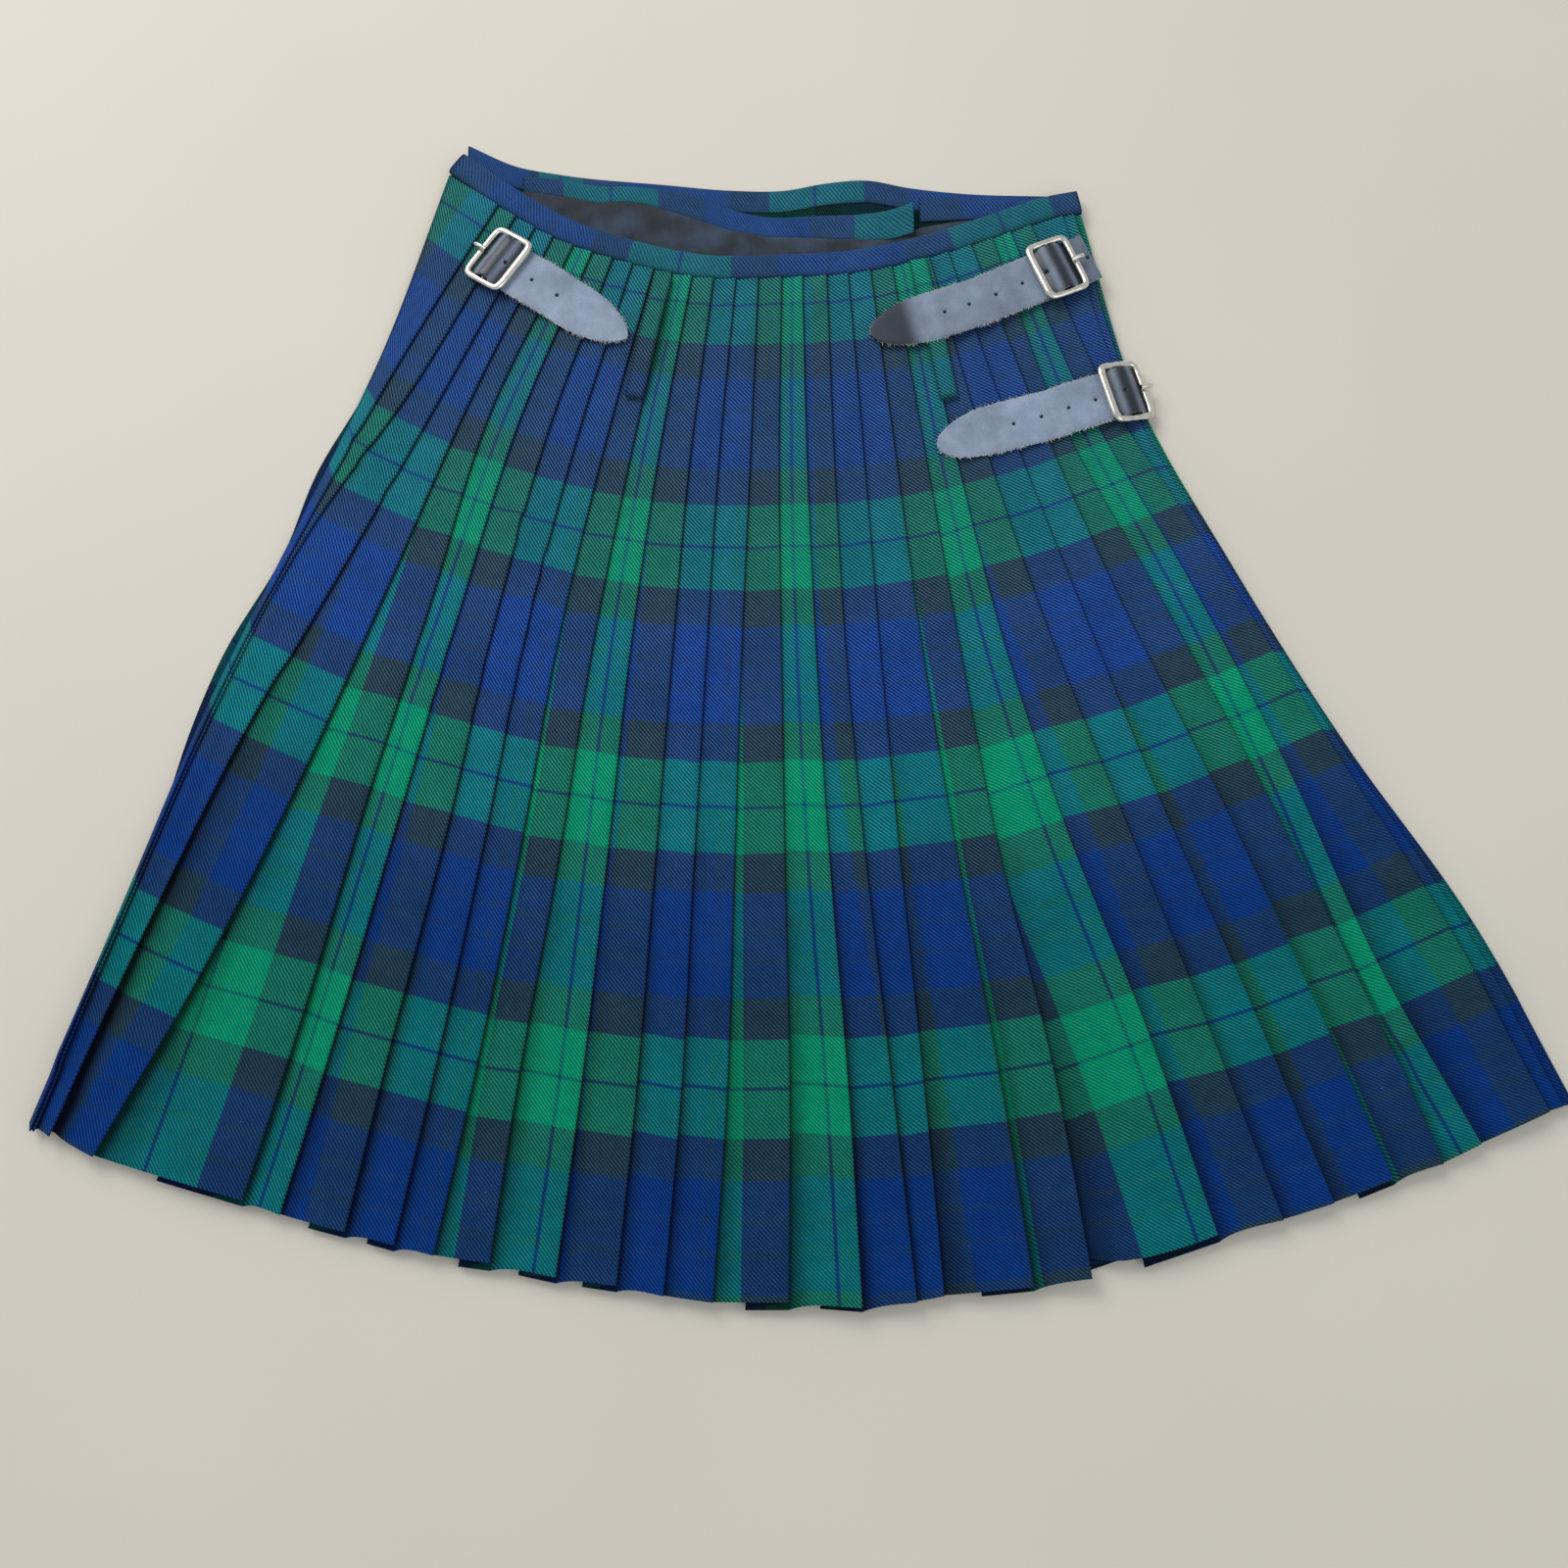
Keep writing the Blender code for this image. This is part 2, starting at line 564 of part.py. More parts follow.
def prong_mesh():
    """Prong that crosses the frame's outer bar and rests on it."""
    seat = WIRE_RADIUS + SEAM + PRONG_RADIUS
    points = [(p.along, 0.0, seat - p.drop) for p in PRONG]
    shares = [p.share for p in PRONG]
    return solid_from_curve(tube_curve("prong_rod", points, shares, PRONG_RADIUS, False))


def build_buckles(metal, leather):
    """Three fastened buckles with their prongs, tabs and straps."""
    frame = frame_mesh()
    prong = prong_mesh()
    for buckle in BUCKLES:
        for name, mesh in (("buckle_", frame), ("prong_", prong)):
            part = add_part(name + buckle.side, mesh, metal)
            height = rest_height(buckle) + buckle.lift
            part.location = (buckle.x * MM, buckle.y * MM, height * MM)
            part.rotation_euler = (0.0, -math.radians(buckle.tilt), math.radians(buckle.heading))
        build_strap(buckle, leather)
        build_tab(buckle, leather)


def build_kilt():
    """Clear the scene and make every piece."""
    for item in list(bpy.data.objects):
        bpy.data.objects.remove(item)
    for title in ("kilt", "cutters"):
        bpy.context.scene.collection.children.link(bpy.data.collections.new(title))
    courses = [fold_course(fold) for fold in (LEFT_SIDE, *FOLDS, RIGHT_SIDE)]
    sections = pleat_sections(courses)
    reach = np.concatenate(sections[:2], axis=1)
    centre_x = (reach[:, :, 0].min() + reach[:, :, 0].max()) / 2
    centre_y = (reach[:, :, 1].min() + OVER_BAND[0].top) / 2
    holder = bpy.data.objects.new("kilt_frame", None)
    holder.location = (-centre_x * MM, -centre_y * MM, 0.0)
    bpy.data.collections["kilt"].objects.link(holder)

    tartan = make_material("tartan cloth", (0.03, 0.13, 0.15), 0.85)
    dark_cloth = make_material("dark lining", (0.05, 0.055, 0.065), 0.8)
    leather = make_material("grey leather", (0.33, 0.34, 0.38), 0.6)
    metal = make_material("polished nickel", (0.85, 0.83, 0.78), 0.2, 1.0)

    build_aprons(tartan, courses)
    build_lining(dark_cloth)
    build_band("waistband_over", OVER_BAND, BAND_CLOTH, tartan)
    build_band("waistband_under", UNDER_BAND, BAND_CLOTH, tartan)
    build_band("waistband_side", SIDE_BAND, APRON_CLOTH, tartan)
    build_pleats(tartan, sections)
    build_back_band(tartan)
    for loop in LOOPS:
        build_loop(loop, tartan)
    build_buckles(metal, leather)


build_kilt()
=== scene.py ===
"""Finish of a pleated kilt that lies flat with its pleats up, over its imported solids.

Sizes are in millimetres in the kilt's own frame, with x = 0 on the centre back and +Y from hem to
waist, and they become metres in the frame's coordinates where a mesh is made.
"""
import logging
import math
from dataclasses import dataclass, field
from enum import Enum
from typing import Any, Mapping, NamedTuple, Sequence, Union

import bmesh
import bpy
import numpy as np
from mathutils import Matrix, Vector


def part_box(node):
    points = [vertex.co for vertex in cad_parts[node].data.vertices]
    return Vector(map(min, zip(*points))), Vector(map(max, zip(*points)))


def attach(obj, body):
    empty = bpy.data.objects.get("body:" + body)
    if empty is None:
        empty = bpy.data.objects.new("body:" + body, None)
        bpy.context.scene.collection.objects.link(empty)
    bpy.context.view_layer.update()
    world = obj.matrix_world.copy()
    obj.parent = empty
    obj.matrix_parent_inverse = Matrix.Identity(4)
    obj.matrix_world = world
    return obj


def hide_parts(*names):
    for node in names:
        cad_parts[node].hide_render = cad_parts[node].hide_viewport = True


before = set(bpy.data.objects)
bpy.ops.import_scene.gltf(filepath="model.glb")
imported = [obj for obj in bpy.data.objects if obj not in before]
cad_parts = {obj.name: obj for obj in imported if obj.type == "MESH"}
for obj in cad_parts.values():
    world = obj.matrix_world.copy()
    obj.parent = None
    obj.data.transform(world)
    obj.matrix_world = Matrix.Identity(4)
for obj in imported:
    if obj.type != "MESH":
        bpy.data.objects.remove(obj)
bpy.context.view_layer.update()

LOG = logging.getLogger("kilt")
MM = 0.001
BODY = "root"
CLOTH_UV = "cloth"
Array = np.ndarray
Value = Union[float, "Signal"]
Colour = tuple[float, float, float]
UP = np.array([0.0, 0.0, 1.0])


class Slot(Enum):
    """Material slots of the record."""

    TARTAN = "tartan_cloth"
    LINING = "lining_cloth"
    LEATHER = "strap_leather"
    METAL = "buckle_metal"


class Side(Enum):
    """The three buckles, by their place."""

    LEFT = "left"
    RIGHT_UPPER = "right_upper"
    RIGHT_LOWER = "right_lower"


class Hand(Enum):
    """The two belt loops, by their side."""

    LEFT = "left"
    RIGHT = "right"


class Paint(Enum):
    """Values from 0 to 1 on a piece's points, which its finish reads."""

    # SHADE is painted shade: it darkens the tartan in grooves beside folds, on hidden layers, on the aprons,
    # along band and loop edges and at their ends.
    SHADE = "shade"
    WORN = "worn"
    GLOSS = "gloss"
    EDGE = "edge"
    # HOLE marks the punched holes, whose near-black colour is a painted shade.
    HOLE = "hole"


class Fold(NamedTuple):
    """A fold edge: its x at each level, its length and how far its hidden layers reach past its hem."""

    waist: float
    hip: float
    seat: float
    thigh: float
    knee: float
    hem: float
    length: float
    under: float


class Station(NamedTuple):
    """A place on the cloth."""

    x: float
    y: float


class Band(NamedTuple):
    """A place along a front waistband: its top edge, lower edge and the height of its middle."""

    x: float
    top: float
    low: float
    middle: float


class Crease(NamedTuple):
    """A soft ridge, or a trough where its height is negative, between two places."""

    x: float
    y: float
    to_x: float
    to_y: float
    width: float
    height: float


class Opening(NamedTuple):
    """How far a fold edge stands up at the hem, and where below the waistband that starts."""

    rise: float
    start: float


class Loop(NamedTuple):
    """A belt loop: the middle of its top and low end, and how far its middle stands proud."""

    side: Hand
    top_x: float
    top_y: float
    low_x: float
    low_y: float
    rise: float


class Buckle(NamedTuple):
    """A buckle's centre, heading, tilt and lift, and its strap's reach, bend, tip and tab shift."""

    side: Side
    x: float
    y: float
    heading: float
    tilt: float
    lift: float
    reach: float
    bend: float
    tip: float
    tab_shift: float


class Course(NamedTuple):
    """A strap's height above the pleats at a distance from the buckle's centre."""

    along: float
    height: float


class Prong(NamedTuple):
    """A place on a prong: its distance from the buckle's centre, drop and share of the radius."""

    along: float
    drop: float
    share: float


class Mark(NamedTuple):
    """A place along a band: its x, and how far its cloth is from the middle of a green stripe."""

    x: float
    cloth: float


class Drift(NamedTuple):
    """How far a strap lies off its route at a distance from the buckle's centre."""

    along: float
    shift: float


class Pucker(NamedTuple):
    """A bulge of the over apron's left side: how far below the waistband, and how far it stands out."""

    down: float
    bulge: float


class Lamp(NamedTuple):
    """A square area light: its place and side in metres, its power in watts and its colour."""

    name: str
    place: tuple[float, float, float]
    size: float
    power: float
    colour: Colour


LEVELS = (0, 120, 240, 360, 480, 588)
LEFT_SIDE = Fold(-205, -239, -283, -328, -366, -400, 602, 0)
FOLDS = (
    Fold(-174, -230, -281, -326.7, -364.8, -398.8, 596, 0),
    Fold(-163, -217, -279, -325.3, -363.5, -397.6, 592, 0),
    Fold(-151, -202, -254, -306, -351.5, -389.5, 588, -1),
    Fold(-140, -187, -228, -270, -317, -366, 587, 0),
    Fold(-127.5, -174, -203, -233, -260, -287, 581, 2),
    Fold(-116, -157, -186.5, -214, -241, -267, 581, 0),
    Fold(-103.5, -139.5, -166, -187, -211.5, -232, 580, 2),
    Fold(-91.5, -122.5, -147.5, -166, -186, -206, 580, 2),
    Fold(-78.5, -106, -129, -146, -165, -185, 580, 0),
    Fold(-67.5, -90, -109.5, -124.5, -142, -155, 578, 2.5),
    Fold(-55.5, -74, -88, -98, -108.5, -120, 580, 2),
    Fold(-42.5, -55.5, -64, -71.5, -79, -88, 581, 2),
    Fold(-29, -38.5, -44.5, -50, -55, -63, 585, 0),
    Fold(-15.5, -20, -24.5, -27.5, -30.5, -37, 588, 0),
    Fold(-1.5, -3, -1.5, 0.5, 3, 2.5, 588, 2.5),
    Fold(11, 13.5, 18.5, 25.5, 34.5, 40.5, 592, 1.5),
    Fold(25.5, 29.5, 35.5, 45.5, 58, 69, 591, 0),
    Fold(38.5, 47, 55, 64.5, 75, 83.5, 589, 0),
    Fold(52, 65.5, 79, 96, 115.5, 130, 590, 1.5),
    Fold(65, 82.5, 100, 119, 144, 160, 591, -6),
    Fold(77, 99.5, 124.5, 158, 198, 228.5, 585, 2.5),
    Fold(87.5, 116.5, 150, 189.5, 229, 263, 587, 0),
    Fold(99, 133.5, 172, 211.5, 254.5, 290.5, 587, 0),
    Fold(113, 151, 193.5, 241.5, 285.5, 323, 586, 2),
    Fold(126, 161.5, 213.5, 264, 310.5, 349.5, 589, 0),
    Fold(137, 178.5, 232.5, 281, 323.5, 371, 587, 0),
    Fold(149.5, 192, 251, 307, 364, 409, 587, 0),
    Fold(169, 202, 255, 312, 372, 417, 586, 0),
    Fold(176, 205.5, 257, 314, 376, 421, 586, 0),
)
RIGHT_SIDE = Fold(181, 209, 260, 317, 380, 425, 586, 0)
WAIST_LINE = (
    Station(-205, 381), Station(-175, 359), Station(-138, 336), Station(-95, 320), Station(-50, 310),
    Station(0, 310), Station(50, 314), Station(100, 327), Station(137, 340), Station(162, 349),
    Station(181, 353),
)

SEAM = 0.3
FIRST_GREEN = 17.5
APRON_CLOTH = 1.2
BAND_CLOTH = 1.5
OVER_LAYER = 0.0
UNDER_LAYER = 1.5
LINING_LAYER = 3.0
WAIST_LAYER = 4.3
SKIRT_LAYER = 3.0
STACK = 5.16
STITCHED_TO = 150.0
OVER_MIDDLE = OVER_LAYER + BAND_CLOTH / 2
UNDER_MIDDLE = UNDER_LAYER + BAND_CLOTH / 2
SIDE_MIDDLE = UNDER_LAYER + APRON_CLOTH / 2
OVER_BAND = (
    Band(-195, 404, 389, OVER_MIDDLE), Band(-166, 390, 375, OVER_MIDDLE), Band(-138, 384, 369, OVER_MIDDLE),
    Band(-74, 377, 362, OVER_MIDDLE), Band(-31, 373, 358, OVER_MIDDLE), Band(0, 373, 358, OVER_MIDDLE),
    Band(26, 378, 363, OVER_MIDDLE), Band(51, 380, 365, OVER_MIDDLE), Band(76, 375, 360, OVER_MIDDLE),
    Band(109, 371, 356, OVER_MIDDLE), Band(164, 369, 354, OVER_MIDDLE),
)
UNDER_BAND = (
    Band(-160, 382, 371, UNDER_MIDDLE), Band(-133, 379, 367, UNDER_MIDDLE),
    Band(-113, 375, 363, UNDER_MIDDLE), Band(-97, 375, 364, UNDER_MIDDLE),
    Band(-77, 373, 360, UNDER_MIDDLE), Band(-57, 369, 353, UNDER_MIDDLE),
    Band(-35, 360, 345, UNDER_MIDDLE), Band(-10, 354, 340, UNDER_MIDDLE),
    Band(20, 355, 339, UNDER_MIDDLE), Band(50, 356, 338, UNDER_MIDDLE + 0.6),
    Band(66, 358, 338, UNDER_MIDDLE + 2.2), Band(79, 362, 341, UNDER_MIDDLE + 4.2),
)
SIDE_BAND = (
    Band(83, 367, 351, SIDE_MIDDLE), Band(105, 367, 352, SIDE_MIDDLE), Band(135, 366, 353, SIDE_MIDDLE),
    Band(172, 366, 355, SIDE_MIDDLE),
)


class Signal:
    """A value in a finish's nodes, with the arithmetic that the finishes use."""

    def __init__(self, finish: "Nodes", socket: bpy.types.NodeSocket) -> None:
        """Wrap one output socket.

        Args:
            finish: The nodes that the socket belongs to.
            socket: The output socket.
        """
        self.finish = finish
        self.socket = socket

    def math(self, operation: str, *values: Value) -> "Signal":
        """One Math node on the given values."""
        inputs = dict(enumerate(values))
        return self.finish.node("ShaderNodeMath", {"operation": operation}, inputs)

    def __add__(self, other: Value) -> "Signal":
        """Sum of two values."""
        return self.math("ADD", self, other)

    def __radd__(self, other: Value) -> "Signal":
        """Sum of two values."""
        return self.math("ADD", other, self)

    def __sub__(self, other: Value) -> "Signal":
        """Difference of two values."""
        return self.math("SUBTRACT", self, other)

    def __rsub__(self, other: Value) -> "Signal":
        """Difference of two values."""
        return self.math("SUBTRACT", other, self)

    def __mul__(self, other: Value) -> "Signal":
        """Product of two values."""
        return self.math("MULTIPLY", self, other)

    def __rmul__(self, other: Value) -> "Signal":
        """Product of two values."""
        return self.math("MULTIPLY", other, self)

    def __truediv__(self, other: Value) -> "Signal":
        """Quotient of two values."""
        return self.math("DIVIDE", self, other)

    def size(self) -> "Signal":
        """The value without its sign."""
        return self.math("ABSOLUTE", self)

    def wave(self) -> "Signal":
        """0 to 1 and back once for each whole step of the value."""
        return self.math("SINE", self * (2 * math.pi)) * 0.5 + 0.5

    def from_centre(self, period: float) -> "Signal":
        """Distance from the nearest whole multiple of a period."""
        share = self.math("FRACT", self / period + 0.5)
        return (share - 0.5).size() * period

    def step(self, low: float, high: float) -> "Signal":
        """0 below low, 1 above high and smooth between them, or the other way round."""
        falling = low > high
        settings = {"interpolation_type": "SMOOTHSTEP"}
        inputs = {"Value": self, "From Min": min(low, high), "From Max": max(low, high)}
        inputs |= {"To Min": float(falling), "To Max": float(not falling)}
        return self.finish.node("ShaderNodeMapRange", settings, inputs)


class Nodes:
    """One material with its Principled shader and the nodes that feed it."""

    def __init__(self, name: str) -> None:
        """Make the material.

        Args:
            name: The material's name.
        """
        self.material = bpy.data.materials.new(name)
        self.material.use_nodes = True
        self.tree = self.material.node_tree
        self.shader = self.tree.nodes["Principled BSDF"]

    def node(
        self,
        kind: str,
        settings: Mapping[str, Any] | None = None,
        inputs: Mapping[int | str, Any] | None = None,
        output: int | str = 0,
    ) -> Signal:
        """Add one node.

        Args:
            kind: The node's type.
            settings: Its properties, set before its sockets.
            inputs: Values or links of its sockets, by name or place.
            output: The socket that is returned.

        Returns:
            The output as a signal.
        """
        made = self.tree.nodes.new(kind)
        for key, value in (settings or {}).items():
            setattr(made, key, value)
        for key, value in (inputs or {}).items():
            self.feed(made.inputs[key], value)
        return Signal(self, made.outputs[output])

    def feed(self, socket: bpy.types.NodeSocket, value: Any) -> None:
        """Link a signal to a socket, or set a number or colour on it."""
        if isinstance(value, Signal):
            self.tree.links.new(value.socket, socket)
        elif isinstance(value, tuple) and len(value) == 3 and socket.type == "RGBA":
            socket.default_value = (*value, 1.0)
        else:
            socket.default_value = value

    def shade(self, **values: Any) -> None:
        """Feed the shader's own sockets, named with _ for a space."""
        for key, value in values.items():
            self.feed(self.shader.inputs[key.replace("_", " ")], value)

    def mix(self, share: Value, first: Any, second: Any, blend: str = "MIX") -> Signal:
        """First colour at share 0 and second at share 1."""
        settings = {"data_type": "RGBA", "blend_type": blend}
        return self.node("ShaderNodeMix", settings, {0: share, 6: first, 7: second}, 2)

    def place(self) -> Signal:
        """Object coordinates."""
        return self.node("ShaderNodeTexCoord", output="Object")

    def cloth(self) -> Signal:
        """The piece's own UV map, in metres of cloth."""
        return self.node("ShaderNodeUVMap", {"uv_map": CLOTH_UV})

    def part(self, vector: Signal, axis: str) -> Signal:
        """One coordinate of a place, in millimetres."""
        return self.node("ShaderNodeSeparateXYZ", inputs={0: vector}, output=axis) / MM

    def noise(self, vector: Signal, grain: float, detail: float = 2.0) -> Signal:
        """Noise with a grain of the given millimetres."""
        inputs = {"Vector": vector, "Scale": 1 / (grain * MM), "Detail": detail}
        return self.node("ShaderNodeTexNoise", {"noise_dimensions": "3D"}, inputs)

    def bump(self, height: Signal, distance: float, strength: float = 1.0) -> Signal:
        """Normal from a height map whose full range is distance in millimetres."""
        inputs = {"Height": height, "Distance": distance * MM, "Strength": strength}
        return self.node("ShaderNodeBump", None, inputs)

    def painted(self, kind: Paint) -> Signal:
        """A value painted on the piece's points."""
        return self.node("ShaderNodeAttribute", {"attribute_name": kind.value}, output="Fac")

    def lit(self, colour: Signal, tone: Signal) -> Signal:
        """Colour multiplied by one level for all three channels."""
        level = self.node("ShaderNodeCombineColor", None, {0: tone, 1: tone, 2: tone})
        return self.mix(1.0, colour, level, "MULTIPLY")


def linear(red: float, green: float, blue: float) -> Colour:
    """Linear colour of a screen colour given from 0 to 255."""
    shares = np.array([red, green, blue]) / 255
    values = np.where(shares <= 0.04045, shares / 12.92, ((shares + 0.055) / 1.055) ** 2.4)
    return tuple(float(v) for v in values)


@dataclass(frozen=True)
class TartanFinish:
    """Twill-woven wool in green, blue and black checks, read from the cloth's UV map.

    Stripes are counted from the middle of a green one, and the pair of lines from the middle of a blue
    one. green_half, black_to and line_half hold a size for the warp, across the cloth, and one for the
    weft, down it. Two ranges down the cloth set where a paler colour, for rubbing wear and a painted
    sheen, fades out below the waist, and where painted shade, as darker copies of the thread colours,
    comes in towards the hem.
    """

    across: float = 190.0
    down: float = 153.8
    green_half: tuple[float, float] = (30.0, 26.0)
    black_to: tuple[float, float] = (58.0, 48.0)
    line_half: tuple[float, float] = (1.0, 0.9)
    pair_out: float = 11.0
    pair_in: float = 6.0
    blur: float = 0.35
    pair_share: float = 0.3
    line_share: float = 0.85
    wale: float = 2.3
    weave: float = 0.7
    worn_weave: float = 0.35
    # Strength of the painted light and dark of the ribs, and how much less of it there is towards the hem and
    # on worn bands.
    rib_shade_strength: float = 1.6
    shaded_rib_drop: float = 0.6
    worn_rib: float = 0.9
    worn_dark: float = 0.08
    # Paler colour near the waist, for rubbing wear and a painted sheen: its range down the cloth, its share,
    # and the extra share on worn bands.
    rub_and_sheen_to: tuple[float, float] = (60.0, 260.0)
    rub_and_sheen_share: float = 0.3
    worn_rub_and_sheen: float = 0.12
    # Range down the cloth where painted shade comes in towards the hem.
    shaded_from: tuple[float, float] = (230.0, 450.0)
    nap_grain: float = 0.9
    wobble_grain: float = 6.0
    patch_grains: tuple[float, float] = (45.0, 7.0)
    speck_grains: tuple[float, float] = (1.1, 17.0)
    speck_share: float = 0.6
    green: Colour = linear(0, 146, 110)
    blue: Colour = linear(28, 68, 142)
    black: Colour = linear(43, 66, 82)
    navy: Colour = linear(18, 44, 112)
    # Darker copies of the thread colours: painted shade towards the hem.
    shaded_green: Colour = linear(0, 136, 101)
    shaded_blue: Colour = linear(5, 51, 117)
    shaded_black: Colour = linear(31, 56, 73)
    shaded_navy: Colour = linear(5, 32, 84)
    # Paler, greyer colour of rubbing wear and a painted sheen near the waist.
    rubbed: Colour = linear(52, 80, 106)
    lint: Colour = linear(150, 165, 170)
    sheen_tint: Colour = (0.75, 0.85, 0.95)

    def stripes(self, nodes: Nodes, place: Signal, axis: int, threads: Sequence[Signal]) -> Signal:
        """Thread colour at a place across one set of threads.

        Args:
            nodes: The finish's nodes.
            place: Distance in millimetres from the middle of a green stripe.
            axis: 0 across the cloth, 1 down it.
            threads: Green, blue, black and navy.

        Returns:
            The colour of the thread there.
        """
        green_thread, blue_thread, black_thread, navy_thread = threads
        period = (self.across, self.down)[axis]
        away = place.from_centre(period)
        blur = self.blur
        green = away.step(self.green_half[axis] + blur, self.green_half[axis] - blur)
        blue = away.step(self.black_to[axis] - blur, self.black_to[axis] + blur)
        line = away.step(self.line_half[axis] + blur, self.line_half[axis] - blur)
        inner = period / 2 - away
        pair = inner.step(self.pair_in - blur, self.pair_in + blur)
        pair = pair * inner.step(self.pair_out + blur, self.pair_out - blur)
        colour = nodes.mix(blue, black_thread, blue_thread)
        colour = nodes.mix(pair * self.pair_share, colour, black_thread)
        colour = nodes.mix(green, colour, green_thread)
        return nodes.mix(line * self.line_share, colour, navy_thread)

    def tone(self, nodes: Nodes, cloth: Signal, nap: Signal) -> Signal:
        """Light and dark of the nap in three grains, over the whole cloth."""
        wide, small = self.patch_grains
        patches = nodes.noise(cloth, wide) * 0.5 + nodes.noise(cloth, small) * 0.35
        return patches + nap * 1.1 + 0.03

    def specks(self, nodes: Nodes, cloth: Signal) -> Signal:
        """Share of lint: small specks, in some patches of the cloth only."""
        fine, wide = self.speck_grains
        return nodes.noise(cloth, fine, 0.0).step(0.86, 0.9) * nodes.noise(cloth, wide, 1.0).step(0.55, 0.65)

    def build(self) -> bpy.types.Material:
        """The finished material.

        Warp and weft colours change places along diagonal ribs, a quarter wave off the painted light and
        dark of the ribs, so both show alike. Near the waist the cloth is mixed towards a paler, greyer
        colour, for rubbing wear and a painted sheen. Towards the hem its threads take darker copies of
        their colours, a painted shade, the ribs' painted light and dark is weaker, and it keeps its nap.
        The bands are painted worn, and their ribs and weave show less.

        Returns:
            The material.
        """
        nodes = Nodes("tartan wool")
        cloth = nodes.cloth()
        u = nodes.part(cloth, "X")
        v = nodes.part(cloth, "Y")
        worn = nodes.painted(Paint.WORN)
        nap = nodes.noise(cloth, self.nap_grain, 3.0)
        wobble = (nodes.noise(cloth, self.wobble_grain) - 0.5) * 0.5
        ribs = (u - v) / self.wale + wobble
        twill = ribs.wave()
        # Share of painted shade, rising towards the hem.
        deep = v.step(*self.shaded_from)
        pairs = (
            (self.green, self.shaded_green), (self.blue, self.shaded_blue), (self.black, self.shaded_black),
            (self.navy, self.shaded_navy),
        )
        threads = [nodes.mix(deep, *pair) for pair in pairs]
        warp = self.stripes(nodes, u, 0, threads)
        weft = self.stripes(nodes, v, 1, threads)
        contrast = self.weave - worn * self.worn_weave
        over = (ribs + 0.25).wave().step(0.1, 0.9) * contrast + (1 - contrast) * 0.5
        colour = nodes.mix(over, weft, warp)
        # Paler colour near the waist and on the bands: rubbing wear and a painted sheen.
        rub = v.step(*reversed(self.rub_and_sheen_to)) * self.rub_and_sheen_share + worn * self.worn_rub_and_sheen
        colour = nodes.mix(rub, colour, self.rubbed)
        # Painted light and dark of the ribs, weaker towards the hem and on the bands, multiplied into the
        # tone.
        rib_strength = self.rib_shade_strength - deep * self.shaded_rib_drop - worn * self.worn_rib
        rib_shading = (twill.step(0.0, 0.75) - 0.6) * rib_strength - worn * self.worn_dark + 1.0
        # The pieces' shade values darken the tone: painted shade.
        tone = self.tone(nodes, cloth, nap) * rib_shading * (1 - nodes.painted(Paint.SHADE))
        colour = nodes.mix(self.specks(nodes, cloth) * self.speck_share, nodes.lit(colour, tone), self.lint)
        nodes.shade(
            Base_Color=colour,
            Roughness=0.86,
            Normal=nodes.bump(twill * 0.6 + nap * 0.6, 0.35, 0.8),
            Sheen_Weight=0.03,
            Sheen_Roughness=0.45,
            Sheen_Tint=self.sheen_tint,
            Specular_IOR_Level=0.07,
        )
        return nodes.material


@dataclass(frozen=True)
class LiningFinish:
    """Dark plain-woven cotton with a faint lustre."""

    colour: Colour = linear(50, 72, 96)
    deep: Colour = linear(24, 35, 48)
    thread: float = 0.7
    patch_grain: float = 22.0
    crumple_grain: float = 14.0

    def build(self) -> bpy.types.Material:
        """The finished material: fine plain weave, and soft darker and lighter patches."""
        nodes = Nodes("dark lining")
        cloth = nodes.cloth()
        u = nodes.part(cloth, "X")
        v = nodes.part(cloth, "Y")
        weave = (u / self.thread).wave() * (v / self.thread).wave()
        patch = nodes.noise(cloth, self.patch_grain, 3.0).step(0.35, 0.7)
        height = weave * 0.4 + nodes.noise(cloth, self.crumple_grain, 3.0)
        nodes.shade(
            Base_Color=nodes.mix(patch, self.deep, self.colour),
            Roughness=0.5,
            Normal=nodes.bump(height, 2.4, 0.7),
            Sheen_Weight=0.15,
            Sheen_Roughness=0.4,
            Specular_IOR_Level=0.4,
        )
        return nodes.material


